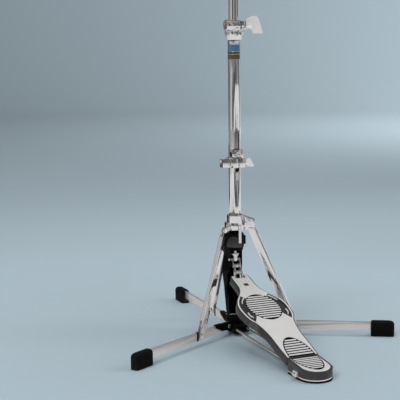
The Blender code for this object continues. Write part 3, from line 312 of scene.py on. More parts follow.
def noise(tree, scale, detail=4.0, stretch=None, roughness=0.55):
    """A noise value over object coordinates. `scale` is a socket or a number, per metre."""
    coords = tree.nodes.new("ShaderNodeTexCoord").outputs["Object"]
    if stretch:
        mapping = tree.nodes.new("ShaderNodeMapping")
        mapping.inputs["Scale"].default_value = stretch
        tree.links.new(coords, mapping.inputs["Vector"])
        coords = mapping.outputs[0]
    made = tree.nodes.new("ShaderNodeTexNoise")
    tree.links.new(coords, made.inputs["Vector"])
    if isinstance(scale, (int, float)):
        made.inputs["Scale"].default_value = scale
    else:
        tree.links.new(scale, made.inputs["Scale"])
    made.inputs["Detail"].default_value = detail
    made.inputs["Roughness"].default_value = roughness
    return made.outputs["Fac"]


def edge_wear_group():
    """Broken wear along the outer edges, as a 0 to 1 mask."""
    tree, inlet, outlet = group("edge_wear", (("Amount", 1.0), ("Patch Scale", 120.0)),
                                (("Mask", "NodeSocketFloat"),))
    geometry = tree.nodes.new("ShaderNodeNewGeometry")
    sharp = math_node(tree, "MULTIPLY_ADD", geometry.outputs["Pointiness"], 14.0)
    sharp.node.inputs[2].default_value = -7.45
    sharp.node.use_clamp = True
    patch = noise(tree, inlet.outputs["Patch Scale"], 5.0)
    broken = math_node(tree, "MULTIPLY", sharp, math_node(tree, "MULTIPLY", patch, 1.6), True)
    tree.links.new(math_node(tree, "MULTIPLY", broken, inlet.outputs["Amount"], True),
                   outlet.inputs["Mask"])
    return tree


def smudge_group():
    """Handling marks: a slow blotch and fine hairlines, as a 0 to 1 mask and a height."""
    tree, inlet, outlet = group("smudges", (("Blotch Scale", 18.0), ("Hairline Scale", 900.0)),
                                (("Mask", "NodeSocketFloat"), ("Height", "NodeSocketFloat")))
    blotch = noise(tree, inlet.outputs["Blotch Scale"], 6.0)
    hair = noise(tree, inlet.outputs["Hairline Scale"], 2.0, (1.0, 1.0, 0.06))
    mask = math_node(tree, "ADD", math_node(tree, "MULTIPLY", blotch, 0.7),
                     math_node(tree, "MULTIPLY", hair, 0.3), True)
    tree.links.new(mask, outlet.inputs["Mask"])
    tree.links.new(hair, outlet.inputs["Height"])
    return tree


def dust_group():
    """Dust that lies on faces that look up."""
    tree, inlet, outlet = group("dust", (("Amount", 0.3), ("Speck Scale", 260.0)),
                                (("Mask", "NodeSocketFloat"),))
    geometry = tree.nodes.new("ShaderNodeNewGeometry")
    split = tree.nodes.new("ShaderNodeSeparateXYZ")
    tree.links.new(geometry.outputs["Normal"], split.inputs[0])
    up = math_node(tree, "MAXIMUM", split.outputs["Z"], 0.0)
    specks = noise(tree, inlet.outputs["Speck Scale"], 6.0, None, 0.7)
    lying = math_node(tree, "MULTIPLY", up, math_node(tree, "POWER", specks, 2.0), True)
    tree.links.new(math_node(tree, "MULTIPLY", lying, inlet.outputs["Amount"], True),
                   outlet.inputs["Mask"])
    return tree


def cast_grain_group():
    """The pebbled face of sand-cast or moulded stuff, as a height and a mask."""
    tree, inlet, outlet = group("cast_grain", (("Grain Scale", 1400.0),),
                                (("Height", "NodeSocketFloat"), ("Mask", "NodeSocketFloat")))
    fine = noise(tree, inlet.outputs["Grain Scale"], 3.0)
    coarse = noise(tree, math_node(tree, "MULTIPLY", inlet.outputs["Grain Scale"], 0.11), 3.0)
    tree.links.new(math_node(tree, "ADD", math_node(tree, "MULTIPLY", fine, 0.6),
                             math_node(tree, "MULTIPLY", coarse, 0.4)), outlet.inputs["Height"])
    tree.links.new(coarse, outlet.inputs["Mask"])
    return tree


def ring_group():
    """Lathe grooves round the stand's axis, as a height and a tone mask."""
    tree, inlet, outlet = group("lathe_rings", (("Ring Pitch", 0.0011),),
                                (("Height", "NodeSocketFloat"), ("Mask", "NodeSocketFloat")))
    coords = tree.nodes.new("ShaderNodeTexCoord").outputs["Object"]
    split = tree.nodes.new("ShaderNodeSeparateXYZ")
    tree.links.new(coords, split.inputs[0])
    across = math_node(tree, "POWER", split.outputs["X"], 2.0)
    off_axis = math_node(tree, "SUBTRACT", split.outputs["Y"], AXIS_Y)
    along = math_node(tree, "POWER", off_axis, 2.0)
    radius = math_node(tree, "SQRT", math_node(tree, "ADD", across, along))
    wobble = math_node(tree, "MULTIPLY", noise(tree, 30.0, 2.0), 0.0012)
    turns = math_node(tree, "DIVIDE", math_node(tree, "ADD", radius, wobble),
                      inlet.outputs["Ring Pitch"])
    wave = math_node(tree, "SINE", math_node(tree, "MULTIPLY", turns, 2 * pi))
    height = math_node(tree, "MULTIPLY_ADD", wave, 0.5)
    height.node.inputs[2].default_value = 0.5
    ring_noise = tree.nodes.new("ShaderNodeTexNoise")
    ring_noise.noise_dimensions = "1D"
    tree.links.new(math_node(tree, "MULTIPLY", radius, 420.0), ring_noise.inputs["W"])
    tree.links.new(height, outlet.inputs["Height"])
    tree.links.new(ring_noise.outputs["Fac"], outlet.inputs["Mask"])
    return tree


EFFECTS = {"wear": edge_wear_group(), "smudges": smudge_group(), "dust": dust_group(),
           "grain": cast_grain_group(), "rings": ring_group()}


class Finish:
    """A material being put together around its Principled shader."""

    def __init__(self, name, metallic=0.0, **constants):
        self.material = bpy.data.materials.new(name)
        self.material.use_nodes = True
        self.tree = self.material.node_tree
        self.shader = self.tree.nodes["Principled BSDF"]
        self.shader.inputs["Metallic"].default_value = metallic
        for label, value in constants.items():
            self.shader.inputs[label.replace("_", " ")].default_value = value

    def effect(self, key, **values):
        """Places a shared effect with this material's own values."""
        made = self.tree.nodes.new("ShaderNodeGroup")
        made.node_tree = EFFECTS[key]
        for label, value in values.items():
            made.inputs[label.replace("_", " ")].default_value = value
        return made.outputs

    def mix(self, mask, low, high):
        """A colour between `low` and `high`, each a tuple or a socket."""
        made = self.tree.nodes.new("ShaderNodeMix")
        made.data_type = "RGBA"
        self.tree.links.new(mask, made.inputs["Factor"])
        for label, value in (("A", low), ("B", high)):
            socket = made.inputs[6 if label == "A" else 7]
            if isinstance(value, tuple):
                socket.default_value = (*value, 1.0)
            else:
                self.tree.links.new(value, socket)
        return made.outputs[2]

    def span(self, mask, low, high):
        """A number between `low` and `high`."""
        made = self.tree.nodes.new("ShaderNodeMapRange")
        self.tree.links.new(mask, made.inputs["Value"])
        made.inputs["To Min"].default_value = low
        made.inputs["To Max"].default_value = high
        return made.outputs[0]

    def set(self, label, socket):
        """Leads a socket to one of the shader's inputs."""
        self.tree.links.new(socket, self.shader.inputs[label])
        return self

    def bump(self, height, strength, distance):
        """Raises the surface by `height`, up to `distance` metres."""
        made = self.tree.nodes.new("ShaderNodeBump")
        made.inputs["Strength"].default_value = strength
        made.inputs["Distance"].default_value = distance
        self.tree.links.new(height, made.inputs["Height"])
        self.tree.links.new(made.outputs[0], self.shader.inputs["Normal"])
        return self


def plated(name, colour, dull, rough_low, rough_high, bump=0.05, metallic=1.0):
    """Bright or satin plating on steel, with smudges, hairlines and dust."""
    made = Finish(name, metallic)
    smudges = made.effect("smudges")
    dust = made.effect("dust", Amount=0.10)
    tone = made.mix(smudges["Mask"], colour, dull)
    made.set("Base Color", made.mix(dust["Mask"], tone, (0.36, 0.36, 0.35)))
    made.set("Roughness", made.span(smudges["Mask"], rough_low, rough_high))
    made.bump(smudges["Height"], bump, 0.0001)
    return made.material


def enamelled(name, colour, worn, rough_low, rough_high, grain, depth, **constants):
    """Paint or moulding over a grained face, worn through to `worn` along its edges."""
    made = Finish(name, 0.0, **constants)
    texture = made.effect("grain", Grain_Scale=grain)
    wear = made.effect("wear", Amount=0.8)
    dust = made.effect("dust", Amount=0.10)
    tone = made.mix(texture["Mask"], colour, tuple(0.6 * c for c in colour))
    tone = made.mix(wear["Mask"], tone, worn)
    made.set("Base Color", made.mix(dust["Mask"], tone, (0.16, 0.155, 0.15)))
    made.set("Roughness", made.span(texture["Mask"], rough_low, rough_high))
    made.bump(texture["Height"], 0.35, depth)
    return made.material


def felt_finish():
    """Dark wool felt: matt, with a pale nap."""
    made = Finish("wool_felt", 0.0, Sheen_Weight=0.35, Sheen_Roughness=0.6)
    fibres = made.effect("grain", Grain_Scale=2600.0)
    made.set("Base Color", made.mix(fibres["Height"], (0.035, 0.034, 0.036), (0.16, 0.155, 0.16)))
    made.set("Roughness", made.span(fibres["Mask"], 0.85, 1.0))
    made.bump(fibres["Height"], 0.8, 0.0006)
    return made.material


def bronze_finish():
    """Cymbal bronze, turned in rings and a little dulled by hands."""
    made = Finish("lathed_bronze", 1.0, Anisotropic=0.55)
    rings = made.effect("rings")
    smudges = made.effect("smudges", Blotch_Scale=9.0)
    tone = made.mix(rings["Mask"], (0.86, 0.62, 0.26), (0.64, 0.42, 0.15))
    made.set("Base Color", made.mix(smudges["Mask"], tone, (0.72, 0.53, 0.25)))
    made.set("Roughness", made.span(smudges["Mask"], 0.20, 0.42))
    made.bump(rings["Height"], 0.25, 0.00012)
    return made.material


def label_finish(name, colour, rubbed):
    """A printed band under varnish, rubbed lighter in patches."""
    made = Finish(name, 0.35, Coat_Weight=0.4, Coat_Roughness=0.12)
    smudges = made.effect("smudges", Blotch_Scale=60.0)
    made.set("Base Color", made.mix(smudges["Mask"], colour, rubbed))
    made.set("Roughness", made.span(smudges["Mask"], 0.25, 0.45))
    made.bump(smudges["Height"], 0.08, 0.0001)
    return made.material


def floor_finish():
    """A cool blue grey floor. The light that it throws back is neutral, and less so up the wall."""
    made = Finish("pale_floor", 0.0)
    soft = made.effect("grain", Grain_Scale=300.0)
    seen = made.mix(soft["Mask"], FLOOR_COLOUR, tuple(1.03 * c for c in FLOOR_COLOUR))
    split = made.tree.nodes.new("ShaderNodeSeparateXYZ")
    made.tree.links.new(made.tree.nodes.new("ShaderNodeTexCoord").outputs["Object"],
                        split.inputs[0])
    height = made.tree.nodes.new("ShaderNodeMapRange")
    made.tree.links.new(split.outputs["Z"], height.inputs["Value"])
    for label, value in zip(("From Min", "From Max"), BOUNCE_HEIGHTS):
        height.inputs[label].default_value = value
    bounce = made.mix(height.outputs[0], FLOOR_BOUNCE, WALL_BOUNCE)
    path = made.tree.nodes.new("ShaderNodeLightPath")
    made.set("Base Color", made.mix(path.outputs["Is Camera Ray"], bounce, seen))
    made.set("Roughness", made.span(soft["Mask"], 0.75, 0.85))
    return made.material


CHROME = plated("plated_chrome", (0.80, 0.80, 0.80), (0.70, 0.70, 0.70), 0.06, 0.14)
DULL_CHROME = plated("dull_chrome", (0.40, 0.385, 0.37), (0.28, 0.27, 0.26), 0.16, 0.30)
SATIN = plated("satin_chrome", (0.95, 0.95, 0.95), (0.88, 0.88, 0.88), 0.26, 0.40, 0.04, 0.30)
STEEL = plated("bright_zinc", (0.80, 0.80, 0.80), (0.68, 0.68, 0.68), 0.18, 0.32, 0.1, 0.85)
BAR = plated("plated_bar", (0.74, 0.74, 0.735), (0.56, 0.56, 0.555), 0.24, 0.36, 0.04, 0.75)
CHARCOAL = enamelled("charcoal_casting", (0.034, 0.035, 0.040), (0.10, 0.10, 0.10), 0.42, 0.56,
                     900.0, 0.00030, Specular_IOR_Level=0.35)
GLOSS_BLACK = enamelled("gloss_black", (0.003, 0.003, 0.0035), (0.02, 0.02, 0.02), 0.28, 0.42,
                        500.0, 0.00012, Specular_IOR_Level=0.12, IOR=1.12)
MOULDED_BLACK = enamelled("moulded_black", (0.005, 0.005, 0.006), (0.02, 0.02, 0.02), 0.42, 0.56,
                          1800.0, 0.00015, Specular_IOR_Level=0.15, IOR=1.15)
DOME = enamelled("dome_panel", (0.030, 0.031, 0.037), (0.07, 0.07, 0.07), 0.38, 0.52,
                 1800.0, 0.00015, Specular_IOR_Level=0.40)
# Near-black for the beds under the treads' ribs: the casting's dark paint, with painted shade for the slots
# between the ribs
TREAD_PAINT_AND_SHADE = enamelled("tread_paint_and_shade", (0.004, 0.004, 0.004), (0.02, 0.02, 0.02), 0.60, 0.75,
                        1500.0, 0.00015, Specular_IOR_Level=0.10, IOR=1.15)
RUBBER = enamelled("matt_rubber", (0.006, 0.006, 0.006), (0.022, 0.022, 0.022), 0.62, 0.80,
                   1500.0, 0.00025, Specular_IOR_Level=0.20, IOR=1.20)
FACE = plated("machined_face", (0.90, 0.90, 0.90), (0.78, 0.78, 0.78), 0.40, 0.55, 0.12, 0.45)
NYLON = enamelled("natural_nylon", (0.62, 0.61, 0.56), (0.70, 0.69, 0.64), 0.40, 0.52,
                  1200.0, 0.0001, Subsurface_Weight=0.05)
FELT = felt_finish()
BRONZE = bronze_finish()
BLUE_BAND = label_finish("blue_band", (0.045, 0.150, 0.270), (0.085, 0.220, 0.350))
OLIVE_BAND = label_finish("olive_band", (0.075, 0.068, 0.008), (0.120, 0.110, 0.025))
DARK_BAND = label_finish("dark_band", (0.012, 0.012, 0.014), (0.03, 0.03, 0.03))
SLOT_LOOKS = {"chrome": CHROME, "satin_chrome": SATIN, "bright_steel": STEEL,
              "polished_alloy": BAR, "cast_alloy": CHARCOAL, "black_paint": GLOSS_BLACK,
              "black_plastic": MOULDED_BLACK, "rubber": RUBBER, "nylon": NYLON,
              "wool_felt": FELT, "bronze": BRONZE}


def dress_cad_nodes():
    """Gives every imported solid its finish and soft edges."""
    for part in frame["record"]["subparts"]:
        made = tidy_cad(part["node"])
        for slot in made.material_slots:
            slot.material = SLOT_LOOKS[part["material_slot"]]


# ---------------------------------------------------------------- outlines

def arc(cx, cy, radius, start, end, count):
    """Points on an arc, with angles in degrees."""
    angles = [radians(start + (end - start) * i / count) for i in range(count + 1)]
    return [(cx + radius * cos(a), cy + radius * sin(a)) for a in angles]


def smooth_through(points, steps):
    """A Catmull-Rom curve through `points`, with `steps` points for each stretch."""
    ends = [points[0]] + list(points) + [points[-1]]
    made = []
    for i in range(1, len(ends) - 2):
        p0, p1, p2, p3 = (Vector(p) for p in ends[i - 1:i + 3])
        for k in range(steps):
            u = k / steps
            made.append(0.5 * (2 * p1 + (p2 - p0) * u + (2 * p0 - 5 * p1 + 4 * p2 - p3) * u ** 2
                               + (3 * p1 - p0 - 3 * p2 + p3) * u ** 3))
    made.append(Vector(points[-1]))
    return made


def from_curve(name, curve, matrix, look):
    """Turns a curve into a mesh piece, laid out by `matrix`."""
    made = bpy.data.objects.new(name + "_curve", curve)
    bpy.context.scene.collection.objects.link(made)
    graph = bpy.context.evaluated_depsgraph_get()
    mesh = bpy.data.meshes.new_from_object(made.evaluated_get(graph))
    bpy.data.objects.remove(made)
    bm = bmesh.new()
    bm.from_mesh(mesh)
    bpy.data.meshes.remove(mesh)
    bmesh.ops.remove_doubles(bm, verts=bm.verts, dist=0.000002)
    bm.transform(matrix)
    return mesh_object(name, bm, look)


def flat_plate(name, outlines, thick, matrix, look, edge=0.00018):
    """A plate with round edges from closed outlines of (x, y): the first is its rim, the rest holes."""
    curve = bpy.data.curves.new(name, "CURVE")
    curve.dimensions = "2D"
    curve.fill_mode = "BOTH"
    curve.extrude = thick / 2 - edge
    curve.bevel_depth = edge
    curve.bevel_resolution = 2
    curve.offset = -edge
    for outline in outlines:
        spline = curve.splines.new("POLY")
        spline.points.add(len(outline) - 1)
        for point, at in zip(spline.points, outline):
            point.co = (at[0], at[1], 0, 1)
        spline.use_cyclic_u = True
    return from_curve(name, curve, matrix @ Matrix.Translation((0, 0, thick / 2)), look)


def bent_rod(name, path, radius, look, cyclic=False, matrix=None, sides=4):
    """A round rod along a path of points."""
    curve = bpy.data.curves.new(name, "CURVE")
    curve.dimensions = "3D"
    curve.bevel_depth = radius
    curve.bevel_resolution = sides
    curve.use_fill_caps = not cyclic
    spline = curve.splines.new("POLY")
    spline.points.add(len(path) - 1)
    for point, at in zip(spline.points, path):
        point.co = (*at, 1)
    spline.use_cyclic_u = cyclic
    return from_curve(name, curve, matrix or Matrix(), look)


# ---------------------------------------------------------------- pedal

def board_frame():
    """The footboard's face as (across, along, up), with its origin on the hinge line."""
    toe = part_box("footboard")[1]
    y = toe.y - BOARD_LENGTH * cos(BOARD_SLOPE) - BOARD_DEPTH * sin(BOARD_SLOPE)
    z = toe.z - BOARD_LENGTH * sin(BOARD_SLOPE)
    return Matrix.Translation((0, y, z)) @ Matrix.Rotation(BOARD_SLOPE, 4, "X")


def board_side(inset):
    """The footboard's right edge as (half width, distance from the hinge line)."""
    return [(x - inset, t) for x, t in smooth_through([(h, t) for t, h in BOARD_HALF_WIDTHS], 8)]


def half_ellipse(long, half, start, direction):
    """Half an ellipse that starts and ends on the line at `start`."""
    return [(half * x, start + direction * long * y) for x, y in arc(0, 0, 1, 0, 180, 32)]


def tread_hole():
    """The round tread's hole, let out at each side into a long pointed crescent."""
    long, half = GRILLE_LONG / 2 + TREAD_RIM, GRILLE_WIDE / 2 + TREAD_RIM
    low, high = CRESCENT_SPAN
    low_turn, high_turn = CRESCENT_TURNS
    right = [(half * x, GRILLE_T + long * y) for x, y in arc(0, 0, 1, -90, low_turn, 12)]
    right += [(x, t) for x, t in board_side(CRESCENT_INSET) if low < t < high]
    right += [(half * x, GRILLE_T + long * y) for x, y in arc(0, 0, 1, high_turn, 90, 10)]
    return right + [(-x, t) for x, t in right[-2:0:-1]]


def ribs(name, middle, long, wide, count, low, high, matrix, look):
    """Cross ribs that fill an ellipse, each as long as the ellipse's chord."""
    pitch = long / count
    bm = bmesh.new()
    for i in range(1, count):
        t = middle - long / 2 + pitch * i
        reach = abs(t - middle) / (long / 2)
        half = wide / 2 * sqrt(max(1 - reach ** 2, 0))
        if t - pitch / 2 < low or t + pitch / 2 > high or half < SHORTEST_RIB / 2:
            continue
        deep = pitch * RIB_SHARE / 2
        ends = arc(half - deep, 0, deep, -90, 90, 6) + arc(-half + deep, 0, deep, 90, 270, 6)
        skin(bm, [[(x, t + y, z) for x, y in ends] for z in (FACE_LIFT, RIB_RISE)])
    made = mesh_object(name, bm, look)
    made.data.transform(matrix)
    return bevelled(made, RIB_SOFT, 2, 60)


def square_hole(middle, half):
    """A square with rounded corners, on the footboard's middle line."""
    straight = half - KEY_HOLE_ROUND
    made = []
    for x, y, start in ((1, 1, 0), (-1, 1, 90), (-1, -1, 180), (1, -1, 270)):
        made += arc(x * straight, middle + y * straight, KEY_HOLE_ROUND, start, start + 90, 3)
    return made


def footboard_outline():
    """The face's rim: straight at the hinge, waisted sides, and a notch for the chain's block."""
    side = [(x, t) for x, t in board_side(FACE_INSET) if t >= FACE_TO_HINGE]
    toe_x, toe_t = side[-1][0], BOARD_LENGTH - TOE_MARGIN
    outline = [(side[0][0], FACE_TO_HINGE)] + side[1:]
    outline += arc(toe_x - TOE_ROUND, toe_t - TOE_ROUND, TOE_ROUND, 0, 90, 5)
    outline += [(TOE_NOTCH_HALF, toe_t), (TOE_NOTCH_HALF, toe_t - TOE_NOTCH_DEEP)]
    return outline + [(-x, t) for x, t in outline[::-1]]


def footboard_face():
    """The bright machined face laid in the dark casting: rim, round tread, heel tread."""
    face = board_frame()
    heel_cut = half_ellipse(HEEL_TREAD_LONG + TREAD_RIM, HEEL_TREAD_HALF + TREAD_RIM,
                            FACE_TO_HINGE, 1)
    plate = flat_plate("footboard_face", [footboard_outline() + heel_cut[::-1], tread_hole(),
                                          square_hole(KEY_HOLE_T, KEY_HOLE_HALF)],
                       FACE_THICK, face @ Matrix.Translation((0, 0, FACE_LIFT)), FACE)
    place(plate, "footboard", "cast_alloy")
    # Painted shade: near-black beds under the ribs stand in for the shade in the slots between them, over the
    # casting's dark paint
    ellipse = [(GRILLE_WIDE / 2 * BED_SHARE * x, GRILLE_T + GRILLE_LONG / 2 * BED_SHARE * y)
               for x, y in arc(0, 0, 1, 0, 357, 119)]
    tread_floor("footboard_tread_bed", ellipse, face, "footboard")
    heel_bed = half_ellipse(HEEL_TREAD_LONG + BED_GROW, HEEL_TREAD_HALF + BED_GROW, BED_TO_HINGE, 1)
    tread_floor("footboard_heel_bed", heel_bed, face, "footboard")
    place(ribs("footboard_tread_ribs", GRILLE_T, GRILLE_LONG, GRILLE_WIDE, GRILLE_RIBS, 0, 1, face,
               FACE), "footboard", "cast_alloy")
    place(ribs("footboard_heel_ribs", 0, 2 * HEEL_TREAD_LONG, 2 * HEEL_TREAD_HALF, HEEL_RIBS, 0.001,
               1, face, FACE), "footboard", "cast_alloy")
    crescent_lips(face)


def crescent_lips(face):
    """Two short bright lips in each crescent, bowed outwards."""
    for name, side in (("left", -1), ("right", 1)):
        for end, (low, high, x0, x1) in CRESCENT_LIPS.items():
            path = [(side * (x0 + (x1 - x0) * u + CRESCENT_LIP_BOW * sin(pi * u)),
                     low + (high - low) * u, FACE_THICK) for u in (0, 0.25, 0.5, 0.75, 1)]
            lip = bent_rod(f"crescent_lip_{end}_{name}", path, CRESCENT_LIP_R, FACE, matrix=face)
            place(lip, "footboard", "cast_alloy")


def tread_floor(name, outline, matrix, body):
    """A near-black bed under a tread's ribs, laid over the slots between them: the casting's dark paint, with
    painted shade in place of the slots' own shade.
    """
    plate = flat_plate(name, [outline], BED_THICK, matrix @ Matrix.Translation((0, 0, BED_LIFT)),
                       TREAD_PAINT_AND_SHADE, BED_EDGE)
    place(plate, body, "cast_alloy")


def heel_frame():
    """The heel plate's face as (across, backwards from its front edge, up)."""
    low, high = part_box("heel_plate")
    fall = (HEEL_TOP_FRONT_Z - HEEL_TOP_REAR_Z) / (high.y - low.y)
    return Matrix.Translation((0, high.y, high.z)) @ Matrix.Rotation(atan(fall), 4, "X")


def heel_nuts():
    """A square nut and a bolt end at each side of the heel pin."""
    low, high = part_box("heel_pin")
    middle = (low + high) / 2
    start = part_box("heel_plate")[1].x + HEEL_NUT_GAP
    end = start + HEEL_NUT_THICK
    half = HEEL_NUT_HALF
    for name, side in (("left", -1), ("right", 1)):
        x0, x1 = sorted((side * start, side * end))
        block = rounded_block(f"heel_nut_{name}", (x0, middle.y - half, middle.z - half),
                              (x1, middle.y + half, middle.z + half), Matrix(), STEEL, 0.0007)
        place(block, "stand", "bright_steel")
        path = [(side * x, middle.y, middle.z) for x in (end - 0.0005, end + HEEL_BOLT_END)]
        place(bent_rod(f"heel_bolt_end_{name}", path, HEEL_BOLT_R, STEEL), "stand", "bright_steel")


def heel_face():
    """The heel plate's bright rim, straight at the hinge and round behind, with its tread."""
    low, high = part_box("heel_plate")
    face = heel_frame()
    half, long = high.x - HEEL_FACE_INSET, high.y - low.y
    outline = [(half, -FACE_TO_HINGE)] + arc(0, high.x - long, half, 0, -180, 40)
    outline += [(-half, -FACE_TO_HINGE)]
    outline += half_ellipse(HEEL_TREAD_LONG - 0.001 + TREAD_RIM, HEEL_TREAD_HALF + TREAD_RIM,
                            -FACE_TO_HINGE, -1)[::-1]
    # Painted shade: the near-black bed under the heel plate's ribs stands in for the shade in its slots, over the
    # casting's dark paint
    bed = half_ellipse(HEEL_TREAD_LONG, HEEL_TREAD_HALF + BED_GROW, -BED_TO_HINGE, -1)
    tread_floor("heel_plate_bed", bed[::-1], face, "stand")
    plate = flat_plate("heel_plate_face", [outline], FACE_THICK,
                       face @ Matrix.Translation((0, 0, FACE_LIFT)), FACE)
    place(plate, "stand", "cast_alloy")
    place(ribs("heel_plate_ribs", 0, HEEL_RIBS_LONG, 2 * HEEL_TREAD_HALF, HEEL_RIBS, -1, -0.003,
               face, FACE), "stand", "cast_alloy")


# ---------------------------------------------------------------- tubes and fittings

def lathed(name, profile, look, body, slot, nodes, count=96, edge=0.0003, at=None, turn=None):
    """A turned piece from a closed (radius, height) profile, about the stand's axis or `at`."""
    bm = bmesh.new()
    matrix = Matrix.Translation(at or (0, AXIS_Y, 0)) @ (turn or Matrix())
    turned(bm, rounded(profile, edge, 3) if edge else profile, count, True, matrix)
    return place(mesh_object(name, bm, look), body, slot, *nodes)


def lower_tube():
    """A thin tube with an upright slot in its front."""
    low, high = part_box("lower_tube")
    radius = high.x
    half = asin(SLOT_WIDTH / 2 / radius)
    round_steps, slot_steps = 88, 4
    angles = [-pi / 2 + half + (2 * pi - 2 * half) * i / round_steps
              for i in range(round_steps + 1)]
    angles += [-pi / 2 - half + 2 * half * i / slot_steps for i in range(1, slot_steps)]
    bm = bmesh.new()
    levels = [low.z, SLOT_LOW_Z, SLOT_TOP_Z, high.z]
    rows = [[bm.verts.new((radius * cos(a), AXIS_Y + radius * sin(a), z)) for a in angles]
            for z in levels]
    for k in range(3):
        for i in range(len(angles)):
            in_slot = k == 1 and i >= round_steps
            if in_slot:
                continue
            j = (i + 1) % len(angles)
            bm.faces.new((rows[k][i], rows[k][j], rows[k + 1][j], rows[k + 1][i]))
    made = mesh_object("lower_tube_fine", bm, CHROME, 50)
    wall = made.modifiers.new("wall", "SOLIDIFY")
    wall.thickness = TUBE_WALL
    wall.offset = -1
    place(made, "stand", "chrome", "lower_tube")


def plain_tube(node, body, slot, look, wall):
    """A turned tube with open ends."""
    low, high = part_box(node)
    r = high.x
    lathed(node + "_fine", [(r, low.z), (r, high.z), (r - wall, high.z), (r - wall, low.z)], look,
           body, slot, [node])


def label_bands():
    """Three plain printed bands round the lower tube."""
    inner, outer = (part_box("lower_tube")[1].x + film for film in LABEL_FILM)
    for name, low, high, look in (("wide_blue_band", 0.5176, 0.5290, BLUE_BAND),
                                  ("thin_dark_band", 0.5132, 0.5158, DARK_BAND),
                                  ("olive_band", 0.5036, 0.5114, OLIVE_BAND)):
        lathed(name, [(outer, low), (outer, high), (inner, high), (inner, low)], look, "stand",
               None, [], edge=0)


def radius_rod():
    """One wire bent to a long U, from the base to the heel and back."""
    low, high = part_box("radius_rod")
    x = high.x - WIRE_R
    base_z, heel_z = high.z - WIRE_R, low.z + WIRE_R
    back = low.y + WIRE_R + x
    knees = [(x, high.y - run, (base_z if run < 0.1 else heel_z) + rise) for run, rise in WIRE_BENDS]
    side = smooth_through([(x, high.y, base_z)] + knees + [(x, back, heel_z)], 6)
    path = [tuple(p) for p in side] + [(a, b, heel_z) for a, b in arc(0, back, x, -8, -172, 20)]
    path += [(-p[0], p[1], p[2]) for p in side[::-1]]
    place(bent_rod("radius_rod_fine", path, WIRE_R, STEEL), "stand", "bright_steel", "radius_rod")


def slot_rim():
    """The rounded lip of the slot, laid on the tube's face, and the round top of its opening."""
    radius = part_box("lower_tube")[1].x
    half = SLOT_WIDTH / 2 + 0.0001
    top = arc(0, SLOT_TOP_Z - half, half, 0, 180, 14)
    bottom = arc(0, SLOT_LOW_Z + half, half, 180, 360, 14)
    path = [(x, AXIS_Y - sqrt(radius ** 2 - x ** 2) + 0.0002, z) for x, z in top + bottom]
    place(bent_rod("slot_lip", path, SLOT_LIP_R, CHROME, True), "stand", "chrome")
    arch = top + [(-half, SLOT_TOP_Z + 0.0001), (half, SLOT_TOP_Z + 0.0001)]
    bm = bmesh.new()
    skin(bm, [[Vector((x, AXIS_Y - sqrt(radius ** 2 - x ** 2) + depth, z)) for x, z in arch]
              for depth in (0.0001, TUBE_WALL)])
    place(mesh_object("slot_arch", bm, CHROME), "stand", "chrome")


def spring_cup():
    """The cup that carries the spring, with a bore in its floor for the rod."""
    low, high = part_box("spring_cup")
    r, floor_z = high.x, low.z + CUP_FLOOR
    lathed("spring_cup_turned", [(r, low.z), (r, high.z), (r - CUP_WALL, high.z),
                                 (r - CUP_WALL, floor_z), (CUP_BORE_R, floor_z),
                                 (CUP_BORE_R, low.z)], DULL_CHROME, "tension_adjuster", "chrome",
           ["spring_cup"])


def return_spring():
    """The coil inside the tube, which shortens as the rod comes down."""
    low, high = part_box("return_spring")
    wire, per_turn = SPRING_WIRE_R, 20
    radius, rise = high.x - wire, high.z - low.z - 2 * wire
    steps = SPRING_TURNS * per_turn
    path = []
    for i in range(steps + 1):
        angle = 2 * pi * i / per_turn
        path.append((radius * cos(angle), AXIS_Y + radius * sin(angle),
                     low.z + wire + rise * i / steps))
    made = bent_rod("return_spring_coil", path, wire, STEEL, sides=2)
    place(made, "tension_adjuster", "bright_steel", "return_spring")
    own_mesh(made)


def rounded_block(name, low, high, turn, look, width=0.0011):
    """A block between two corners of the frame `turn`, with round edges."""
    bm = bmesh.new()
    (x0, y0, z0), (x1, y1, z1) = low, high
    skin(bm, [[Vector(p) for p in ((x0, y0, z), (x1, y0, z), (x1, y1, z), (x0, y1, z))]
              for z in (z0, z1)])
    bm.transform(turn)
    return bevelled(mesh_object(name, bm, look), width, 3, 40)


def leg_frame(letter):
    """A leg's own frame: outwards, sideways, up, from the foot of the stand's axis."""
    return Matrix.Translation((0, AXIS_Y, 0)) @ Matrix.Rotation(radians(LEG_ANGLES[letter]), 4, "Z")


def fork_and_knob():
    """The forked end of the pull rod, and the round head on the left of its pin."""
    low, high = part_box("pull_fork")
    top, stem = high.x, FORK_STEM_HALF
    thick = (high.y - low.y) / 2
    right = [(top, high.z), (top - 0.0006, high.z - 0.0016), (stem, high.z - 0.0062),
             (stem, low.z + 0.0010), (stem - 0.0012, low.z)]
    outline = [(-x, z) for x, z in right] + right[::-1]
    bm = bmesh.new()
    skin(bm, [[Vector((x, AXIS_Y + y, z)) for x, z in outline] for y in (-thick, thick)])
    made = bevelled(mesh_object("pull_fork_cast", bm, SATIN), 0.0005, 2, 30)
    place(made, "pull_rod", "bright_steel", "pull_fork")
    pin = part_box("chain_top_pin")
    middle = (pin[0] + pin[1]) / 2
    ball = [(0.0001, -0.0030), (0.0014, -0.0028), (0.0025, -0.0017), (0.0029, 0.0),
            (0.0025, 0.0017), (0.0014, 0.0028), (0.0001, 0.0030)]
    lathed("fork_pin_knob", ball, SATIN, "pull_rod", "bright_steel", [], 32, 0,
           (pin[0].x - 0.0014, middle.y, middle.z), Matrix.Rotation(pi / 2, 4, "Y"))


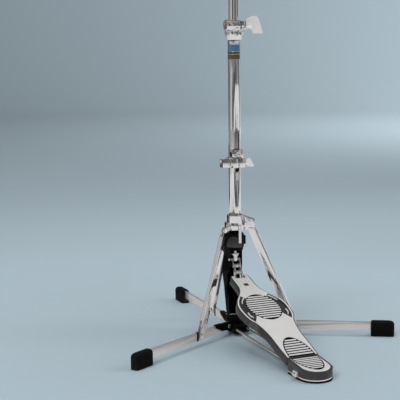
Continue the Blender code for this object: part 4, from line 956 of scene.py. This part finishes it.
def hub_clamp():
    """The hub's clamp block before the tube, its thin cap, and the guide blade below it."""
    turn = leg_frame("c")
    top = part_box("tripod_hub")[1].z
    for name, low, high, look, width in (
            ("hub_clamp_block", (-0.0085, -0.0180, top - 0.0170), (0.0140, -0.0112, top + 0.0006),
             CHROME, 0.0011),
            ("hub_clamp_cap", (-0.0060, -0.0125, top - 0.0010), (0.0180, -0.0118, top - 0.0002),
             CHROME, 0.0011),
            ("hub_guide_blade", (0.0085, -0.0196, top - 0.0500), (0.0135, -0.0182, top - 0.0165),
             STEEL, 0.0005)):
        place(rounded_block(name, low, high, turn, look, width), "hub", "chrome")


def hub_bolt():
    """A wide square head with a low boss, and the shank through the hub's lug."""
    turn = leg_frame("c")
    turn.translation = Vector(JOINTS["hub_bolt_turn"]["pos_m"])
    turn = turn @ Matrix.Rotation(pi / 2, 4, "X")
    half, face = HUB_BOLT_HEAD_HALF, HUB_LUG_HALF + 0.0003
    outer, tip = face + HUB_BOLT_HEAD_DEEP, -HUB_LUG_HALF + 0.0002
    bm = bmesh.new()
    skin(bm, [[Vector(p) for p in ((-half, -half, h), (half, -half, h), (half, half, h),
                                   (-half, half, h))] for h in (face, outer)])
    turned(bm, rounded([(0.0001, outer - 0.0002), (HUB_BOLT_BOSS_R, outer - 0.0002),
                        (HUB_BOLT_BOSS_R - 0.0004, outer + 0.0008), (0.0001, outer + 0.0008)],
                       0.0005, 3), 32)
    turned(bm, [(0.0001, tip), (HUB_BOLT_R, tip), (HUB_BOLT_R, face + 0.0010),
                (0.0001, face + 0.0010)], 24)
    bm.transform(turn)
    made = bevelled(mesh_object("hub_bolt_square_head", bm, CHROME), 0.0006, 3, 50)
    place(made, "hub_bolt", "bright_steel", "hub_bolt")


def turned_along_x(name, profile, at, look, body, slot):
    """A turned piece about a line along X, from (radius, distance) points."""
    turn = Matrix.Rotation(pi / 2, 4, "Y")
    return lathed(name, profile, look, body, slot, [], 48, 0.0006, at, turn)


def collar_spools():
    """The waisted barrels that the height bolt draws together before the tube."""
    low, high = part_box("height_collar")
    at, bore = (0, low.y + 0.0092, (low.z + high.z) / 2), WING_BORE_R
    for name, profile in (
            ("collar_barrel", [(bore, -0.0122), (0.0101, -0.0122), (0.0082, -0.0088),
                               (0.0070, -0.0045), (0.0082, 0.0014), (bore, 0.0014)]),
            ("collar_nut", [(bore, -0.0246), (0.0094, -0.0246), (0.0102, -0.0225),
                            (0.0102, -0.0140), (bore, -0.0140)]),
            ("collar_cheek", [(bore, 0.0044), (0.0080, 0.0044), (0.0066, 0.0105),
                              (bore, 0.0105)])):
        turned_along_x(name, profile, at, CHROME, "stand", "chrome")


# ---------------------------------------------------------------- feet, black leg bands, cover

def foot_section(half, low, high, at):
    """A loaf-shaped section: square below, well rounded above."""
    big, small = min(half * 0.72, (high - low) * 0.3), 0.0012
    points = (arc(half - small, low + small, small, -90, 0, 3)
              + arc(half - big, high - big, big, 0, 90, 8)
              + arc(-half + big, high - big, big, 90, 180, 8)
              + arc(-half + small, low + small, small, 180, 270, 3))
    return [Vector((at, x, z)) for x, z in points]


def rubber_foot(letter):
    """A moulded foot with a cross groove in its outer face, drawn along the leg."""
    turn = leg_frame(letter)
    half, high = FOOT_WIDTH / 2, FOOT_HEIGHT
    outer, inner = FOOT_REACH - 0.0008, FOOT_REACH - FOOT_LENGTH
    levels = []
    for at, shrink, drop in ((inner, 0.0022, 0.0030), (inner + 0.0006, 0.0010, 0.0015),
                             (inner + 0.0020, 0.0002, 0.0004), (inner + 0.0040, 0, 0),
                             (outer - 0.0090, 0, 0), (outer - 0.0045, 0.0001, 0.0006),
                             (outer - 0.0018, 0.0006, 0.0018), (outer - 0.0004, 0.0016, 0.0034),
                             (outer, 0.0024, 0.0046)):
        levels.append(foot_section(half - shrink, 0.0002, high - drop, at))
    bm = bmesh.new()
    skin(bm, levels)
    top = high - 0.0052
    middle, gap = top * 0.52, FOOT_GROOVE / 2
    for side in (-1, 1):
        for low_z, high_z in ((0.0022, middle - gap), (middle + gap, top)):
            near, far = sorted((side * 0.0006, side * (half - 0.0030)))
            pad = [[Vector((at, y, z)) for y, z in ((near, low_z), (far, low_z), (far, high_z),
                                                    (near, high_z))]
                   for at in (outer - 0.0003, outer + 0.0008)]
            skin(bm, pad)
    bm.transform(turn)
    made = bevelled(mesh_object(f"foot_{letter}_moulded", bm, RUBBER, 40), 0.0005, 2, 50)
    place(made, f"leg_{letter}", "rubber", f"foot_{letter}")


def leg_black_band(letter, start, end):
    """A thin black band round a leg, near its strut."""
    low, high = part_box(f"leg_{letter}")
    half, bottom, top = LEG_THICK / 2 + LEG_BAND_STANDOFF, low.z - LEG_BAND_STANDOFF, high.z + LEG_BAND_STANDOFF
    bm = bmesh.new()
    section = [(-half, bottom), (half, bottom), (half, top), (-half, top)]
    skin(bm, [[Vector((at, y, z)) for y, z in section] for at in (start, end)])
    bm.transform(leg_frame(letter))
    place(mesh_object(f"leg_{letter}_black_band", bm, RUBBER), f"leg_{letter}", "rubber")


def cover_dome():
    """The round-topped panel in the cover's front."""
    low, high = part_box("tower_cover")
    reach = AXIS_Y - low.y
    bore, proud = reach - 0.0012, reach + DOME_PROUD
    foot, top = low.z + 0.0006, high.z - 0.0012
    shoulder = top - DOME_ROUND
    profile = [(bore, foot), (proud, foot), (proud, shoulder)]
    profile += [(bore + (proud - bore) * cos(a), shoulder + DOME_ROUND * sin(a))
                for a in (0.3, 0.6, 0.9, 1.2)]
    profile.append((bore, top))
    bm = bmesh.new()
    middle, spread = radians(DOME_BEARING), radians(DOME_SPREAD)
    angles = [middle + spread * (2 * i / 32 - 1) for i in range(33)]
    levels = []
    for angle in angles:
        share = abs(angle - middle) / spread
        drop = 1 - 0.55 * share ** 2.2
        levels.append([Vector((r * cos(angle), AXIS_Y + r * sin(angle), foot + (z - foot) * drop))
                       for r, z in profile])
    skin(bm, levels)
    place(mesh_object("cover_front_dome", bm, DOME, 40), "stand", "black_plastic")


# ---------------------------------------------------------------- cymbals and their felts

def cymbal(node, body, up):
    """A lathed cymbal: bell, bow and a thin edge."""
    low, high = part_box(node)
    radius, thick = high.x, CYMBAL_THICK
    rise = high.z - low.z - thick
    bow = rise * BOW_HEIGHT / (BOW_HEIGHT + BELL_HEIGHT)
    bell = rise - bow
    face = [(CYMBAL_HOLE_R, bow + bell)]
    for share in (k / 12 for k in range(1, 13)):
        face.append((CYMBAL_HOLE_R + (BELL_R - CYMBAL_HOLE_R) * share,
                     bow + bell * cos(share * pi / 2) ** BELL_FULLNESS))
    for share in (k / 24 for k in range(1, 25)):
        face.append((BELL_R + (radius - BELL_R) * share, bow * (1 - share ** BOW_FULLNESS)))
    profile = [(r, z + thick) for r, z in face[:-1]] + [(radius, face[-1][1] + thick * 0.5)]
    profile += [(r, z) for r, z in face[:-1][::-1]]
    edge, sign = (low.z, 1) if up else (high.z, -1)
    bm = bmesh.new()
    turned(bm, [(r, edge + sign * z) for r, z in profile], 160, True,
           Matrix.Translation((0, AXIS_Y, 0)))
    place(mesh_object(node + "_lathed", bm, BRONZE, 50), body, "bronze", node)


def felt_washer(node, body):
    """A pressed felt washer with soft edges."""
    low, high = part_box(node)
    r, hole = high.x, FELT_BORE
    lathed(node + "_pressed", [(hole, low.z), (r, low.z), (r, high.z), (hole, high.z)],
           FELT, body, "wool_felt", [node], 72, 0.0012)


def seat_cup():
    """The moulded cup under the bottom felt: a neck that opens to a dish."""
    low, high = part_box("seat_cup")
    r, flare = high.x, 0.0035
    lathed("seat_cup_moulded", [(FELT_BORE, low.z), (SEAT_NECK_R, low.z),
                                (SEAT_NECK_R + 0.0006, low.z + flare), (r, high.z - flare),
                                (r, high.z), (FELT_BORE, high.z)], MOULDED_BLACK, "seat",
           "black_plastic", ["seat_cup"], 96, 0.0008)


def build_pieces():
    """Makes every fine piece, from the pedal up to the cymbals."""
    footboard_face()
    heel_face()
    heel_nuts()
    lower_tube()
    plain_tube("upper_tube", "upper_tube", "chrome", CHROME, UPPER_TUBE_WALL)
    label_bands()
    radius_rod()
    slot_rim()
    spring_cup()
    return_spring()
    hub_clamp()
    hub_bolt()
    fork_and_knob()
    collar_spools()
    for letter in "abc":
        rubber_foot(letter)
    for letter, (start, end) in LEG_BLACK_BANDS.items():
        leg_black_band(letter, start, end)
    cover_dome()
    cymbal("top_cymbal", "clutch", True)
    cymbal("bottom_cymbal", "seat", False)
    for node, body in (("bottom_felt", "seat"), ("lower_clutch_felt", "clutch"),
                       ("upper_clutch_felt", "clutch")):
        felt_washer(node, body)
    seat_cup()


# ---------------------------------------------------------------- studio

def studio_floor():
    """A floor that curves up to a wall on every side."""
    profile = [(0.001, 0.0), (1.0, 0.0), (3.0, 0.0), (FLOOR_R, 0.0)]
    for angle in (k / 16 * pi / 2 for k in range(1, 17)):
        profile.append((FLOOR_R + COVE_R * sin(angle), COVE_R * (1 - cos(angle))))
    profile.append((FLOOR_R + COVE_R, WALL_TOP))
    bm = bmesh.new()
    turned(bm, profile, 96, closed=False)
    top = max(bm.faces, key=lambda face: face.calc_center_median().z)
    bm.faces.remove(top)
    made = mesh_object("studio_floor", bm, floor_finish(), None)
    made.data.flip_normals()


def soft_light(name, at, aim, size, power):
    """A soft box that plating doesn't mirror."""
    data = bpy.data.lights.new(name, "AREA")
    data.shape = "RECTANGLE"
    data.size, data.size_y = size
    data.energy = power
    made = bpy.data.objects.new(name, data)
    bpy.context.scene.collection.objects.link(made)
    made.location = at
    made.rotation_euler = (Vector(aim) - Vector(at)).to_track_quat("-Z", "Y").to_euler()
    made.visible_camera = False
    made.visible_glossy = False
    return made


def mirror_card(name, bearing, spread, tone, low=CARD_LOW, high=CARD_HIGH,
                distance=CARD_DISTANCE):
    """An upright card that only the plating mirrors. Bearings are in degrees from the pedal."""
    across = Vector((cos(radians(bearing)), sin(radians(bearing)), 0))
    at = Vector((distance * across.y, -distance * across.x, 0))
    side = across * distance * tan(radians(spread / 2))
    bm = bmesh.new()
    corners = (at - side + Vector((0, 0, low)), at + side + Vector((0, 0, low)),
               at + side + Vector((0, 0, high)), at - side + Vector((0, 0, high)))
    bm.faces.new([bm.verts.new(corner) for corner in corners])
    look = bpy.data.materials.new(name)
    look.use_nodes = True
    shader = look.node_tree.nodes["Principled BSDF"]
    shader.inputs["Base Color"].default_value = (0.01, 0.01, 0.01, 1)
    shader.inputs["Roughness"].default_value = 1.0
    shader.inputs["Specular IOR Level"].default_value = 0.0
    shader.inputs["Emission Color"].default_value = (1, 1, 1, 1)
    shader.inputs["Emission Strength"].default_value = tone
    made = mesh_object(name, bm, look, None)
    made.visible_camera = False
    made.visible_diffuse = False
    made.visible_shadow = False


def studio_lights():
    """Soft boxes for the matt stuff, cards for the plating, and a little light from all round."""
    for name, at, aim, size, power in SOFT_LIGHTS:
        soft_light(name, at, aim, size, power)
    for i, (bearing, spread, tone) in enumerate(MIRROR_CARDS):
        mirror_card(f"mirror_card_{i}", bearing, spread, tone)
    mirror_card("low_dark_card", -158, 44, 0.01, 0.0, 0.30, 0.55)
    world = bpy.data.worlds.new("studio_air")
    world.use_nodes = True
    air = world.node_tree.nodes["Background"]
    air.inputs["Color"].default_value = (1.0, 1.0, 1.0, 1)
    air.inputs["Strength"].default_value = AIR_LIGHT
    bpy.context.scene.world = world


def studio_camera():
    """A long lens before the stand on its left, a little above the pedal."""
    data = bpy.data.cameras.new("camera")
    data.lens = CAMERA_LENS
    data.sensor_width = 36.0
    made = bpy.data.objects.new("camera", data)
    bpy.context.scene.collection.objects.link(made)
    aim = (Matrix.Rotation(-CAMERA_TURN, 4, "Z") @ Matrix.Rotation(pi / 2 - CAMERA_DIP, 4, "X")
           @ Matrix.Rotation(CAMERA_ROLL, 4, "Z"))
    made.matrix_world = Matrix.Translation(CAMERA_AT) @ aim
    bpy.context.scene.camera = made
    bpy.context.scene.view_settings.view_transform = "Standard"


dress_cad_nodes()
build_pieces()
studio_floor()
studio_lights()
studio_camera()
